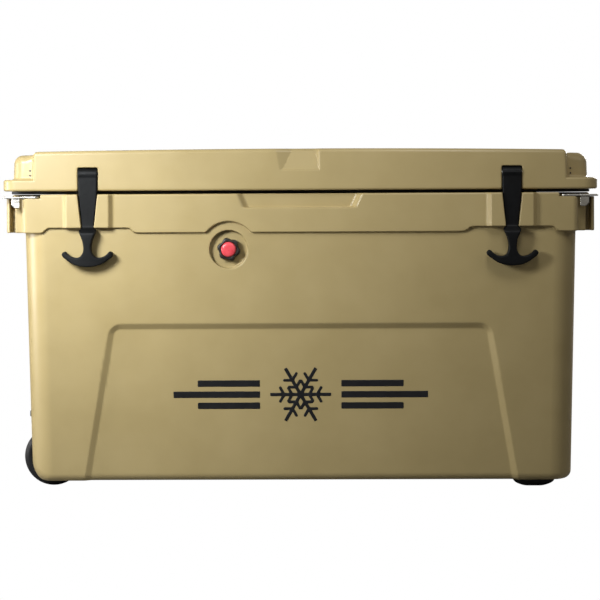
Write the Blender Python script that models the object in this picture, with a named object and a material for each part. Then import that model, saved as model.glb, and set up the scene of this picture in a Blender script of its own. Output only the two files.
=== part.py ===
"""Wheeled rotomoulded cooler chest, closed, standing on two wheels and two feet.

Metres, +Z up. The origin is on the ground under the middle of the chest, +X runs to the
end with the feet, and the front with the two latches faces -Y.
"""
import bpy
import bmesh
from math import atan2, cos, pi, radians, sin
from mathutils import Matrix, Vector

# the gap that touching pieces keep, and the wall of the hollow mouldings
GAP = 0.0003
WALL = 0.005

# how far a cutter runs past the faces that it opens, and how far a welded piece sinks in
OVERCUT = 0.020
SINK = 0.002

# base: outer body, from the ground up
BODY_HALF_LENGTH = 0.421
BODY_HALF_DEPTH = 0.234
BODY_BOTTOM = 0.011
BODY_DRAFT_X = 0.010
BODY_DRAFT_Y = 0.008
BODY_CORNER = 0.040
BODY_EDGE = 0.012

# base: rim round the top
RIM_HEIGHT = 0.0585
RIM_TOP = 0.4495
RIM_LOW = RIM_TOP - RIM_HEIGHT
BAND_PROUD = 0.006
BAND_HALF_DEPTH = BODY_HALF_DEPTH + BAND_PROUD
BAND_CORNER = 0.010
END_OVERHANG = 0.0276
RIM_HALF_LENGTH = BODY_HALF_LENGTH + END_OVERHANG
NOTCH_DEPTH = 0.022
END_HALF_DEPTH = BAND_HALF_DEPTH - NOTCH_DEPTH
END_CORNER = 0.006
LIP_GROOVE_WIDTH = 0.008
LIP_GROOVE_DEPTH = 0.022
LIP_THICKNESS = 0.0056

# base: inside
INSULATION = 0.048
CAVITY_HALF_LENGTH = BODY_HALF_LENGTH - INSULATION
CAVITY_HALF_DEPTH = BODY_HALF_DEPTH - INSULATION
FLOOR_THICKNESS = 0.079
FLOOR_OVER_WHEELS = 0.025
FLOOR_SLOPE_RUN = 0.030
CAVITY_DRAFT = 0.008
CAVITY_CORNER = 0.030
CAVITY_FLOOR_ROUND = 0.010

# front panel pressed into the lower body
PANEL_DEPTH = 0.006
PANEL_BELOW_RIM = 0.140
PANEL_END_INSET_TOP = 0.135
PANEL_END_INSET_LOW = 0.095
PANEL_SLOPE = 0.010
PANEL_CORNER = 0.017

# finger recess under the lid's front edge, and the hand grips under the rim's ends
FINGER_HALF_TOP = 0.0956
FINGER_HALF_LOW = 0.084
FINGER_HEIGHT = 0.0215
FINGER_DEPTH = 0.009
GRIP_HALF_WIDTH = 0.065
GRIP_BAR = 0.015
GRIP_ROOM = 0.033
GRIP_RISE = 0.040
GRIP_DROP = 0.048
GRIP_SLOPE = 0.020

# latches: rubber straps pinned in the lid, hooked under two ribs on the rim
LATCH_END_INSET = 0.100
POCKET_HALF_WIDTH = 0.0153
POCKET_HEIGHT = 0.0355
POCKET_DEPTH = 0.018
PIN_BELOW_POCKET_TOP = 0.0095
EYE_RADIUS = 0.0085
LATCH_PIN_RADIUS = 0.003
LATCH_PIN_BEARING = 0.006
LATCH_PIN_COVER = 0.002
PIN_CLEARANCE = 0.0002
STRAP_HALF_TOP = 0.0146
STRAP_HALF_LOW = 0.0088
STRAP_THICKNESS = 0.0065
CHANNEL_DEPTH = 0.004
CHANNEL_CLEARANCE = 0.0006
KEEPER_PROUD = 0.008
KEEPER_HALF_WIDTH = 0.0385
KEEPER_CHAMFER = 0.0075
KEEPER_LIFT = 0.0075
LIFT_HALF_WIDTH = 0.062
SHOULDER_DROP = 0.002
SHOULDER_HALF_WIDTH = 0.0134
SHOULDER_HEIGHT = 0.0035
NECK_DROP = 0.0245
GRIP_HEIGHT = 0.0290
TIP_DROP = 0.0085
GRIP_TIP_HALF = 0.0379
LATCH_REACH = 0.0135

# vent valve in its round pocket
VENT_X = -0.108
VENT_BELOW_RIM = 0.026
VENT_POCKET_RADIUS = 0.029
VENT_POCKET_DEPTH = 0.018
VENT_ARCH_RADIUS = 0.0425
VENT_KNOB_RADIUS = 0.018
VENT_KNOB_HEIGHT = 0.020
VENT_STEM_RADIUS = 0.0085
BUTTON_RADIUS = 0.0115
BUTTON_PROUD = 0.004
BUTTON_TRAVEL = 0.003
VALVE_ROD_RADIUS = 0.0025
VENT_BASE = 0.004
VENT_GASKET = 0.0015
VENT_NUT_THICKNESS = 0.005
VENT_NUT_RIM = 0.006
VENT_LOBES = 6
VENT_LOBE_DEPTH = 0.0022

# wheels on their axle
WHEEL_RADIUS = 0.045
WHEEL_PROUD = 0.007
WHEEL_WIDTH = 0.038
WHEEL_CLEARANCE = 0.008
WELL_BEVEL = 0.030
FRONT_CHEEK = 0.030
TYRE_THICKNESS = 0.014
AXLE_RADIUS = 0.006
AXLE_CLEARANCE = 0.0002
AXLE_CAP_RADIUS = 0.010
AXLE_CAP_THICKNESS = 0.003
AXLE_END = 0.0035
HUB_BOSS = 0.006
HUB_WEB = 0.008
TYRE_CROWN = 0.004
TYRE_SHOULDER = 0.006

# feet under the other end
FOOT_END_INSET = 0.0645
FOOT_HALF_LENGTH = 0.0315
FOOT_SOLE_HALF = 0.0165
FOOT_DEPTH = 0.060
FOOT_CORNER = 0.008
FOOT_DOME = 0.006
FOOT_INSET = 0.016

# drain through the wheel end
DRAIN_Y = -0.090
DRAIN_RISE = 0.012
DRAIN_BORE = 0.0105
DRAIN_TUBE_WALL = 0.003
DRAIN_FLANGE_RADIUS = 0.021
DRAIN_FLANGE_THICKNESS = 0.003
DRAIN_SEAT_DEPTH = 0.004
DRAIN_CAP_RADIUS = 0.0185
DRAIN_CAP_HEIGHT = 0.014
DRAIN_STUB = 0.022
DRAIN_LUG_HEIGHT = 0.008
DRAIN_LUG_HALF = 0.013
DRAIN_LUG_THICKNESS = 0.005
DRAIN_REACH = 0.120
DRAIN_TUBE_PAST_WELL = 0.012

# lid
LID_GAP = 0.005
LID_BOTTOM = RIM_TOP + LID_GAP
FLANGE_THICKNESS = 0.0175
LID_HEIGHT = 0.0630
LID_TOP = LID_BOTTOM + LID_HEIGHT
FLANGE_OVERHANG = 0.0034
FLANGE_HALF_LENGTH = RIM_HALF_LENGTH + FLANGE_OVERHANG
LID_HALF_DEPTH = BAND_HALF_DEPTH
FLANGE_CORNER = 0.022
LID_BLOCK_INSET = 0.012
LID_NOSE_INSET = 0.045
LID_NOTCH = 0.028
LID_EDGE = 0.010
PLUG_CLEARANCE = 0.006
PLUG_DEPTH = 0.020
SCOOP_HALF_WIDTH = 0.0285
SCOOP_HEIGHT = 0.028
SCOOP_DEPTH = 0.010
NOSE_CORNER = 0.006
BLOCK_CORNER = 0.018
FLANGE_EDGE = 0.003
SEAL_WIDTH = 0.010
SEAL_INSET = 0.003

# stainless corner plates with a padlock hole and a bottle opener
PLATE_THICKNESS = 0.003
PLATE_BELOW_RIM = 0.003
PLATE_LENGTH = 0.0566
PLATE_PAST_RIM = 0.003
PLATE_DEPTH = 0.085
PLATE_MARGIN = 0.0015
PLATE_CORNER = 0.006
PLATE_SCREW_INSET = 0.014
PLATE_SCREW_FROM_FRONT = 0.030
TONGUE_WIDTH = 0.0135
TONGUE_DROP = 0.015
TONGUE_FROM_NOTCH = 0.003
TONGUE_BEVEL = 0.004
LOCK_HOLE_RADIUS = 0.005
LOCK_HOLE_INSET = 0.0125
LOCK_HOLE_END_INSET = 0.0155

# hinges on the back
HINGE_END_INSET = 0.100
HINGE_HALF_LENGTH = 0.045
HINGE_LEAF = 0.004
KNUCKLE_RADIUS = 0.006
HINGE_PIN_RADIUS = 0.0025
HINGE_Z = RIM_TOP + LID_GAP / 2
HINGE_LEAF_HEIGHT = 0.044
HINGE_SCREW_X = 0.028
HINGE_SCREW_Z = 0.0275
HINGE_CORNER = 0.006
KNUCKLE_GAP = 0.0015

# screws and fill plugs
SCREW_HEAD_RADIUS = 0.005
SCREW_HEAD_HEIGHT = 0.0025
SCREW_RADIUS = 0.0022
SCREW_LENGTH = 0.014
FILL_PLUG_RADIUS = 0.012
FILL_PLUG_RIM = 0.0015
FILL_X = 0.15
LID_FILL_X = 0.10

FRONT, REAR = -1, 1
SIDES = {"left": -1, "right": 1}
ENDS = {"front": FRONT, "rear": REAR}

# places and planes that follow from the sizes above
BODY_HEIGHT = RIM_LOW - BODY_BOTTOM
CAVITY_FLOOR = BODY_BOTTOM + FLOOR_THICKNESS
PANEL_TOP = RIM_LOW - PANEL_BELOW_RIM
PANEL_HALF_TOP = BODY_HALF_LENGTH - PANEL_END_INSET_TOP
PANEL_HALF_LOW = BODY_HALF_LENGTH - PANEL_END_INSET_LOW
LATCH_X = BODY_HALF_LENGTH - LATCH_END_INSET
HINGE_X = BODY_HALF_LENGTH - HINGE_END_INSET
FOOT_X = BODY_HALF_LENGTH - FOOT_END_INSET
VENT_Z = RIM_LOW - VENT_BELOW_RIM
WHEEL_X = WHEEL_RADIUS - WHEEL_PROUD - BODY_HALF_LENGTH
WHEEL_END_ROUND = WHEEL_RADIUS - WHEEL_PROUD
PLATE_INNER_X = RIM_HALF_LENGTH + PLATE_PAST_RIM - PLATE_LENGTH
BAND_FACE = -BAND_HALF_DEPTH
CHANNEL_FLOOR = BAND_FACE + CHANNEL_DEPTH
VENT_FLOOR = -BODY_HALF_DEPTH + VENT_POCKET_DEPTH
KEEPER_UNDERSIDE = RIM_LOW + KEEPER_LIFT
PLATE_TOP = RIM_TOP - PLATE_BELOW_RIM
PLATE_LOW = PLATE_TOP - PLATE_THICKNESS
PIN_Y = BAND_FACE + LATCH_PIN_RADIUS + LATCH_PIN_COVER
PIN_Z = LID_BOTTOM + POCKET_HEIGHT - PIN_BELOW_POCKET_TOP
HINGE_Y = BAND_HALF_DEPTH + GAP + HINGE_LEAF + KNUCKLE_RADIUS / 2
LOCK_X = FLANGE_HALF_LENGTH - LOCK_HOLE_END_INSET
LOCK_Y = BAND_FACE + LOCK_HOLE_INSET
DRAIN_Z = CAVITY_FLOOR + DRAIN_RISE
WHEEL_Y = BODY_HALF_DEPTH - BODY_DRAFT_Y - FRONT_CHEEK - WHEEL_CLEARANCE / 2 - WHEEL_WIDTH / 2
FOOT_Y = BODY_HALF_DEPTH - BODY_DRAFT_Y - FOOT_INSET - FOOT_DEPTH / 2


# ---------------------------------------------------------------- modelling tools

def clear_scene():
    for item in list(bpy.data.objects):
        bpy.data.objects.remove(item)


def material(name, colour, roughness, metallic=0.0):
    made = bpy.data.materials.new(name)
    made.use_nodes = True
    shader = made.node_tree.nodes["Principled BSDF"]
    shader.inputs["Base Color"].default_value = (*colour, 1)
    shader.inputs["Roughness"].default_value = roughness
    shader.inputs["Metallic"].default_value = metallic
    return made


def add_object(name, bm, look=None):
    """An object from a bmesh, with its faces turned outwards."""
    bmesh.ops.recalc_face_normals(bm, faces=bm.faces)
    mesh = bpy.data.meshes.new(name)
    bm.to_mesh(mesh)
    bm.free()
    made = bpy.data.objects.new(name, mesh)
    bpy.context.collection.objects.link(made)
    if look:
        mesh.materials.append(look)
    return made


def loft(name, rings, look=None):
    """A closed solid through rings of points, each with the same count, capped at both ends."""
    bm = bmesh.new()
    loops = [[bm.verts.new(p) for p in ring] for ring in rings]
    for low, high in zip(loops, loops[1:]):
        for i in range(len(low)):
            j = (i + 1) % len(low)
            bm.faces.new((low[i], low[j], high[j], high[i]))
    bm.faces.new(loops[0])
    bm.faces.new(loops[-1])
    return add_object(name, bm, look)


def rounded_rectangle(x0, x1, y0, y1, radius, steps=5):
    """Points round a rectangle with round corners."""
    points = []
    corners = ((x1 - radius, y1 - radius, 0), (x0 + radius, y1 - radius, 1),
               (x0 + radius, y0 + radius, 2), (x1 - radius, y0 + radius, 3))
    for cx, cy, quarter in corners:
        for i in range(steps + 1):
            a = (quarter + i / steps) * pi / 2
            points.append((cx + radius * cos(a), cy + radius * sin(a)))
    return points


def centred(half_x, half_y, radius, steps=5):
    return rounded_rectangle(-half_x, half_x, -half_y, half_y, radius, steps)


def stack(name, sections, look=None):
    """A solid of plan outlines, each a list of points, at their heights."""
    return loft(name, [[(x, y, z) for x, y in plan] for z, plan in sections], look)


def box(name, x0, x1, y0, y1, z0, z1, look=None):
    plan = [(x0, y0), (x1, y0), (x1, y1), (x0, y1)]
    return stack(name, [(z0, plan), (z1, plan)], look)


def front_prism(name, outline, y0, y1, outline_far=None, look=None):
    """A solid of an outline in X and Z, pulled along Y. It may end in a second outline."""
    far = outline_far or outline
    return loft(name, [[(x, y0, z) for x, z in outline], [(x, y1, z) for x, z in far]], look)


AXIS_TURNS = {"x": Matrix.Rotation(pi / 2, 4, "Y"), "z": Matrix.Identity(4),
              "y": Matrix.Rotation(-pi / 2, 4, "X"), "-x": Matrix.Rotation(-pi / 2, 4, "Y"),
              "-y": Matrix.Rotation(pi / 2, 4, "X"), "-z": Matrix.Rotation(pi, 4, "X")}


def turned(name, profile, at, axis="z", steps=20, look=None, lobes=0, lobe_depth=0.0):
    """A solid turned round an axis. The profile is a closed list of (radius, height) when the
    piece has a bore, and otherwise starts and ends on the axis. Lobes wave the outer radius."""
    bm = bmesh.new()
    closed = profile[0][0] > 0
    rings = []
    widest = max(r for r, _ in profile)
    for r, h in profile:
        if r == 0:
            rings.append([bm.verts.new((0, 0, h))])
            continue
        ring = []
        for i in range(steps):
            a = 2 * pi * i / steps
            wave = lobe_depth * (1 - cos(lobes * a)) / 2 if lobes and r > 0.8 * widest else 0
            ring.append(bm.verts.new(((r - wave) * cos(a), (r - wave) * sin(a), h)))
        rings.append(ring)
    pairs = list(zip(rings, rings[1:])) + ([(rings[-1], rings[0])] if closed else [])
    for low, high in pairs:
        for i in range(steps):
            j = (i + 1) % steps
            if len(low) == 1:
                bm.faces.new((low[0], high[j], high[i]))
            elif len(high) == 1:
                bm.faces.new((low[i], low[j], high[0]))
            else:
                bm.faces.new((low[i], low[j], high[j], high[i]))
    bm.transform(Matrix.Translation(at) @ AXIS_TURNS[axis])
    made = add_object(name, bm, look)
    made.data.shade_smooth()
    made.data.set_sharp_from_angle(angle=radians(40))
    return made


def rod(name, at, radius, length, axis="z", steps=14, look=None):
    """A plain cylinder from a point along an axis."""
    return turned(name, [(0, 0), (radius, 0), (radius, length), (0, length)], at, axis, steps, look)


def combine(body, operation, pieces):
    for piece in pieces:
        change = body.modifiers.new(f"{operation.lower()} {piece.name}", "BOOLEAN")
        change.operation = operation
        change.solver = "EXACT"
        change.object = piece
        piece.hide_render = True
        piece.display_type = "WIRE"
    return body


def carve(body, *cutters):
    return combine(body, "DIFFERENCE", cutters)


def weld(body, *pieces):
    return combine(body, "UNION", pieces)


# ---------------------------------------------------------------- shapes that pieces share

def body_plan(z, inset=0.0):
    """The body's outline at a height, drawn in by its draft and an inset."""
    share = (RIM_LOW - z) / BODY_HEIGHT
    half_x = BODY_HALF_LENGTH - BODY_DRAFT_X * share - inset
    half_y = BODY_HALF_DEPTH - BODY_DRAFT_Y * share - inset
    return centred(half_x, half_y, BODY_CORNER - min(inset, BODY_CORNER / 2), 7)


def end_x(z):
    """How far the body's end wall stands from the middle at a height."""
    return BODY_HALF_LENGTH - BODY_DRAFT_X * (RIM_LOW - z) / BODY_HEIGHT


def cavity(name, grow=0.0):
    """The space inside the chest. Grown, it is what the insulation keeps clear of."""
    low = CAVITY_FLOOR - grow
    top = RIM_TOP + WALL

    def plan(z, inset):
        share = (RIM_TOP - z) / (RIM_TOP - CAVITY_FLOOR)
        half_x = CAVITY_HALF_LENGTH - CAVITY_DRAFT * share - inset + grow
        half_y = CAVITY_HALF_DEPTH - CAVITY_DRAFT * share - inset + grow
        return centred(half_x, half_y, CAVITY_CORNER - inset + grow, 5)

    made = stack(name, [(low, plan(low, CAVITY_FLOOR_ROUND)),
                        (low + CAVITY_FLOOR_ROUND, plan(low + CAVITY_FLOOR_ROUND, 0)),
                        (top, plan(top, 0))])
    # the floor rises over the wheels
    near = well_top() + FLOOR_OVER_WHEELS
    far = WHEEL_X + WHEEL_RADIUS + WHEEL_CLEARANCE + FLOOR_SLOPE_RUN
    step = front_prism(name + "_step",
                       [(-BODY_HALF_LENGTH, low - WALL), (far, low - WALL), (far, low),
                        (-CAVITY_HALF_LENGTH - grow, near - grow), (-BODY_HALF_LENGTH, near - grow)],
                       -BODY_HALF_DEPTH, BODY_HALF_DEPTH)
    return carve(made, step)


def well_top():
    return 2 * WHEEL_RADIUS + WHEEL_CLEARANCE


def wheel_well(name, end, grow=0.0):
    middle = end * WHEEL_Y
    half = WHEEL_WIDTH / 2 + WHEEL_CLEARANCE / 2 + grow
    inner = WHEEL_X + WHEEL_RADIUS + WHEEL_CLEARANCE + grow
    top = well_top() + grow
    outline = [(-BODY_HALF_LENGTH - OVERCUT, -OVERCUT), (inner, -OVERCUT), (inner, top - WELL_BEVEL),
               (inner - WELL_BEVEL, top), (-BODY_HALF_LENGTH - OVERCUT, top)]
    return front_prism(name, outline, middle - half, middle + half)


def hand_grip(name, side, grow=0.0):
    """The finger space under and behind the bar at one end of the rim."""
    bar_inner = RIM_HALF_LENGTH - GRIP_BAR + grow
    back = RIM_HALF_LENGTH - GRIP_BAR - GRIP_ROOM - grow
    half = GRIP_HALF_WIDTH + grow
    top = RIM_LOW + GRIP_RISE + grow
    low = RIM_LOW - GRIP_DROP - grow
    outline = [(back, low + GRIP_SLOPE), (back, top), (bar_inner, top), (bar_inner, low - GRIP_SLOPE / 2),
               (BODY_HALF_LENGTH - SINK, low - GRIP_SLOPE / 3)]
    return front_prism(name, [(side * x, z) for x, z in outline], -half, half)


def strap_half(z):
    """The latch strap's half width at a height, from the lid down to its shoulder."""
    top, low = RIM_TOP, KEEPER_UNDERSIDE
    share = min(max((top - z) / (top - low), 0), 1)
    return STRAP_HALF_TOP + (STRAP_HALF_LOW - STRAP_HALF_TOP) * share


# ---------------------------------------------------------------- base

def insulation(name, gap, look=None):
    """The foam in the base, or with no gap the hollow that holds it."""
    skin = WALL + gap
    low, top = BODY_BOTTOM + WALL + gap, RIM_TOP - 2 * WALL - gap
    rise = BODY_EDGE
    core = stack(name, [(low, body_plan(low, skin + rise)), (low + rise, body_plan(low + rise, skin)),
                        (RIM_LOW, body_plan(RIM_LOW, skin)), (top, body_plan(RIM_LOW, skin))], look)
    grow = WALL + gap
    clears = [cavity(name + "_clear_cavity", grow), panel_cutter(name + "_clear_panel", grow),
              finger_cutter(name + "_clear_finger", grow)]
    for word, end in ENDS.items():
        clears.append(wheel_well(f"{name}_clear_well_{word}", end, grow))
        clears.append(rod(f"{name}_clear_foot_screw_{word}", (FOOT_X, end * FOOT_Y, 0),
                          SCREW_RADIUS + grow, BODY_BOTTOM / 2 + SCREW_LENGTH + grow, "z", 8))
    for word, side in SIDES.items():
        clears.append(hand_grip(f"{name}_clear_grip_{word}", side, grow))
    for word, side in SIDES.items():
        x0, x1 = sorted((side * (PLATE_INNER_X - grow), side * (RIM_HALF_LENGTH + grow)))
        clears.append(box(f"{name}_clear_plate_{word}", x0, x1, BAND_FACE - grow,
                          BAND_FACE + PLATE_DEPTH + grow,
                          PLATE_LOW - SCREW_LENGTH - grow, RIM_TOP + grow))
    clears.append(rod(name + "_clear_axle", (WHEEL_X, -BODY_HALF_DEPTH, WHEEL_RADIUS),
                      AXLE_RADIUS + grow, 2 * BODY_HALF_DEPTH, "y"))
    clears.append(rod(name + "_clear_drain", (-BODY_HALF_LENGTH - OVERCUT, DRAIN_Y, DRAIN_Z),
                      DRAIN_FLANGE_RADIUS + grow, DRAIN_REACH + 2 * OVERCUT, "x"))
    clears.append(vent_cutter(name + "_clear_vent", grow))
    return carve(core, *clears)


def keeper(name, centre, hand):
    """One rib beside the strap's channel, with a chamfer on its outer side."""
    inner_top = strap_half(RIM_TOP) + CHANNEL_CLEARANCE
    inner_low = strap_half(KEEPER_UNDERSIDE) + CHANNEL_CLEARANCE
    outer = KEEPER_HALF_WIDTH
    root = [(inner_low, KEEPER_UNDERSIDE), (outer, KEEPER_UNDERSIDE), (outer, RIM_TOP),
            (inner_top, RIM_TOP)]
    tip = [(inner_low, KEEPER_UNDERSIDE), (outer - KEEPER_CHAMFER, KEEPER_UNDERSIDE),
           (outer - KEEPER_CHAMFER, RIM_TOP), (inner_top, RIM_TOP)]
    return front_prism(name, [(centre + hand * x, z) for x, z in root],
                       BAND_FACE + SINK, BAND_FACE - KEEPER_PROUD,
                       [(centre + hand * x, z) for x, z in tip])


def latch_seat_cutters(word, centre):
    """The strap's channel in the rim, and the lift of the rim's lower edge under the ribs."""
    top = strap_half(RIM_TOP) + CHANNEL_CLEARANCE
    low = strap_half(KEEPER_UNDERSIDE) + CHANNEL_CLEARANCE
    over = RIM_TOP + WALL
    channel = front_prism(f"cut_channel_{word}",
                          [(centre - low, RIM_LOW - SINK), (centre + low, RIM_LOW - SINK),
                           (centre + low, KEEPER_UNDERSIDE), (centre + top, RIM_TOP),
                           (centre + top, over), (centre - top, over), (centre - top, RIM_TOP),
                           (centre - low, KEEPER_UNDERSIDE)],
                          BAND_FACE - OVERCUT, CHANNEL_FLOOR)
    flare = KEEPER_LIFT
    lift = front_prism(f"cut_lift_{word}",
                       [(centre - LIFT_HALF_WIDTH - flare, RIM_LOW - SINK),
                        (centre + LIFT_HALF_WIDTH + flare, RIM_LOW - SINK),
                        (centre + LIFT_HALF_WIDTH, KEEPER_UNDERSIDE),
                        (centre - LIFT_HALF_WIDTH, KEEPER_UNDERSIDE)],
                       BAND_FACE - OVERCUT, -BODY_HALF_DEPTH - GAP)
    return channel, lift


def base_shell(look):
    sections = []
    for degrees in (0, 30, 60, 90):
        a = radians(degrees)
        rise, inset = BODY_EDGE * (1 - cos(a)), BODY_EDGE * (1 - sin(a))
        sections.append((BODY_BOTTOM + rise, body_plan(BODY_BOTTOM + rise, inset)))
    sections.append((RIM_LOW, body_plan(RIM_LOW)))
    sections.append((RIM_LOW + SINK, body_plan(RIM_LOW)))
    shell = stack("base_shell", sections, look)

    band_plan = centred(BODY_HALF_LENGTH, BAND_HALF_DEPTH, BAND_CORNER, 3)
    band = stack("rim_band", [(RIM_LOW, band_plan), (RIM_TOP, band_plan)])
    end_plan = centred(RIM_HALF_LENGTH, END_HALF_DEPTH, END_CORNER, 3)
    ends = stack("rim_ends", [(RIM_LOW, end_plan), (RIM_TOP, end_plan)])
    additions = [band, ends]
    cutters = [cavity("cut_cavity"), insulation("cut_insulation", 0.0)]
    for word, side in SIDES.items():
        centre = side * LATCH_X
        additions += [keeper(f"keeper_inner_{word}", centre, -side),
                      keeper(f"keeper_outer_{word}", centre, side)]
        cutters += latch_seat_cutters(word, centre)
        cutters.append(hand_grip(f"cut_grip_{word}", side))
        cutters += corner_plate_cutters(word, side)
    weld(shell, *additions)

    # the wheel end's lower corner is rounded round the wheels
    reach = WHEEL_END_ROUND
    out = end_x(BODY_BOTTOM + reach) + 3 * GAP
    arc = [(-out + reach * (1 - cos(a)), BODY_BOTTOM + reach * (1 - sin(a)))
           for a in (radians(10 * i) for i in range(10))]
    corner = [(-out - OVERCUT, BODY_BOTTOM + reach)] + arc
    corner += [(-out + reach, BODY_BOTTOM - OVERCUT), (-out - OVERCUT, BODY_BOTTOM - OVERCUT)]
    cutters.append(front_prism("cut_wheel_end", corner, -BODY_HALF_DEPTH - OVERCUT,
                               BODY_HALF_DEPTH + OVERCUT))
    cutters += [wheel_well(f"cut_well_{word}", end) for word, end in ENDS.items()]
    cutters.append(rod("cut_axle", (WHEEL_X, -WHEEL_Y, WHEEL_RADIUS),
                       AXLE_RADIUS + GAP, 2 * WHEEL_Y, "y"))
    cutters += [panel_cutter("cut_panel"), finger_cutter("cut_finger"), vent_cutter("cut_vent"),
                drain_cutter()]
    for word, side in SIDES.items():
        cutters.append(rod(f"cut_fill_{word}", (side * FILL_X, 0, BODY_BOTTOM - WALL),
                           FILL_PLUG_RADIUS + GAP, 4 * WALL, "z"))
    for word, end in ENDS.items():
        cutters.append(rod(f"cut_foot_screw_{word}", (FOOT_X, end * FOOT_Y, 0),
                           SCREW_RADIUS + GAP, BODY_BOTTOM / 2 + SCREW_LENGTH + GAP, "z", 8))
    for name, at in hinge_screw_places("base"):
        cutters.append(rod(f"cut_{name}", at, SCREW_RADIUS + GAP,
                           SCREW_LENGTH + GAP, "-y", 8))
    return carve(shell, *cutters)


def vent_cutter(name, grow=0.0):
    """The vent's round pocket, the arch over it in the rim, and the bore for its stem."""
    pocket, arch = VENT_POCKET_RADIUS + grow, VENT_ARCH_RADIUS + grow
    stem = VENT_STEM_RADIUS + GAP + grow
    face = VENT_POCKET_DEPTH + GAP
    back = -INSULATION - OVERCUT
    return turned(name, [(0, back), (stem, back), (stem, -grow), (pocket, -grow), (pocket, face),
                         (arch, face), (arch, face + OVERCUT), (0, face + OVERCUT)],
                  (VENT_X, VENT_FLOOR, VENT_Z), "-y", 32)


def drain_cutter():
    """The drain's flat seat in the end wall, and its bore through to the inside."""
    seat = -end_x(DRAIN_Z) + DRAIN_SEAT_DEPTH
    flange = DRAIN_FLANGE_RADIUS + 2 * GAP
    bore = DRAIN_BORE + DRAIN_TUBE_WALL + GAP
    return turned("cut_drain", [(0, -OVERCUT), (flange, -OVERCUT), (flange, 0), (bore, 0),
                                (bore, DRAIN_REACH), (0, DRAIN_REACH)],
                  (seat, DRAIN_Y, DRAIN_Z), "x", 24)


def finger_cutter(name, grow=0.0):
    """The finger recess in the rim, under the middle of the lid."""
    low, top = RIM_TOP - FINGER_HEIGHT - grow, RIM_TOP + WALL
    half_low, half_top = FINGER_HALF_LOW + grow, FINGER_HALF_TOP + grow
    return front_prism(name, [(-half_low, low), (half_low, low), (half_top, top), (-half_top, top)],
                       BAND_FACE - OVERCUT, BAND_FACE + FINGER_DEPTH + grow)


def panel_cutter(name, grow=0.0):
    """The shallow panel pressed into the front, with sloping sides. It runs out at the bottom."""
    def outline(spread):
        low, top = BODY_BOTTOM - OVERCUT, PANEL_TOP + spread
        corner = PANEL_CORNER
        half_low, half_top = PANEL_HALF_LOW + spread, PANEL_HALF_TOP + spread
        lean = atan2(half_low - half_top, top - low)
        points = []
        for i in range(5):
            a = lean + (pi / 2 - lean) * i / 4
            points.append((half_top - corner + corner * cos(a), top - corner + corner * sin(a)))
        return [(half_low, low)] + points + [(-x, z) for x, z in reversed(points)] + [(-half_low, low)]

    def placed(depth):
        # the panel follows the body's draft, so each point's depth depends on its height
        rows = []
        for x, z in outline(depth * PANEL_SLOPE + grow):
            share = (RIM_LOW - z) / BODY_HEIGHT
            face = -BODY_HALF_DEPTH + BODY_DRAFT_Y * share
            rows.append((x, face + PANEL_DEPTH * (1 - depth) + grow, z))
        return rows

    return loft(name, [placed(0.0), placed(2.0)])


def insulation_foam(look):
    return insulation("base_foam", GAP, look)


# ---------------------------------------------------------------- corner plates

def plate_edges(side):
    inner = side * PLATE_INNER_X
    outer = side * (RIM_HALF_LENGTH + PLATE_PAST_RIM)
    return inner, outer


def plate_screws(side):
    """Where the plate's two screws stand, clear of the notch and the lid's seal."""
    x = side * (PLATE_INNER_X + PLATE_SCREW_INSET)
    return [(x, BAND_FACE + PLATE_SCREW_FROM_FRONT), (x, BAND_FACE + PLATE_DEPTH - PLATE_SCREW_INSET)]


def corner_plate_cutters(word, side):
    inner, _ = plate_edges(side)
    outer = side * (RIM_HALF_LENGTH + OVERCUT)
    x0, x1 = sorted((inner - side * PLATE_MARGIN, outer))
    cutters = [box(f"cut_plate_{word}", x0, x1, BAND_FACE - OVERCUT,
                   BAND_FACE + PLATE_DEPTH + PLATE_MARGIN, PLATE_LOW - GAP, RIM_TOP + OVERCUT)]
    groove_outer = RIM_HALF_LENGTH - LIP_THICKNESS
    g0, g1 = sorted((side * groove_outer, side * (groove_outer - LIP_GROOVE_WIDTH)))
    cutters.append(box(f"cut_groove_{word}", g0, g1, -END_HALF_DEPTH - OVERCUT / 2,
                       -END_HALF_DEPTH + LIP_GROOVE_DEPTH, RIM_LOW - OVERCUT, RIM_TOP + OVERCUT))
    for i, (x, y) in enumerate(plate_screws(side), 1):
        cutters.append(rod(f"cut_plate_screw_{word}_{i}", (x, y, RIM_TOP), SCREW_RADIUS + GAP,
                           RIM_TOP - PLATE_TOP + SCREW_LENGTH + GAP, "-z", 8))
    return cutters


def corner_plate(word, side, look):
    inner, outer = plate_edges(side)
    x0, x1 = sorted((inner, outer))
    front = BAND_FACE + GAP
    plan = rounded_rectangle(x0, x1, front, BAND_FACE + PLATE_DEPTH, PLATE_CORNER, 3)
    plate = stack(f"corner_plate_{word}", [(PLATE_LOW, plan), (PLATE_TOP, plan)], look)
    near = BODY_HALF_LENGTH + TONGUE_FROM_NOTCH
    far = near + TONGUE_WIDTH
    bevel = TONGUE_BEVEL
    low, weld_z = PLATE_LOW - TONGUE_DROP, PLATE_LOW + PLATE_THICKNESS / 3
    tongue = front_prism(f"tongue_{word}",
                         [(side * x, z) for x, z in ((near, low), (far - bevel, low),
                                                     (far, low + bevel), (far, weld_z),
                                                     (near, weld_z))],
                         front + GAP, front + GAP + PLATE_THICKNESS)
    weld(plate, tongue)
    cuts = [rod(f"cut_lock_{word}", (side * LOCK_X, LOCK_Y, PLATE_LOW - PLATE_THICKNESS),
                LOCK_HOLE_RADIUS, 3 * PLATE_THICKNESS, "z", 20)]
    for i, (x, y) in enumerate(plate_screws(side), 1):
        cuts.append(rod(f"cut_plate_hole_{word}_{i}", (x, y, PLATE_LOW - PLATE_THICKNESS),
                        SCREW_RADIUS + GAP, 3 * PLATE_THICKNESS, "z", 8))
    return carve(plate, *cuts)


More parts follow.
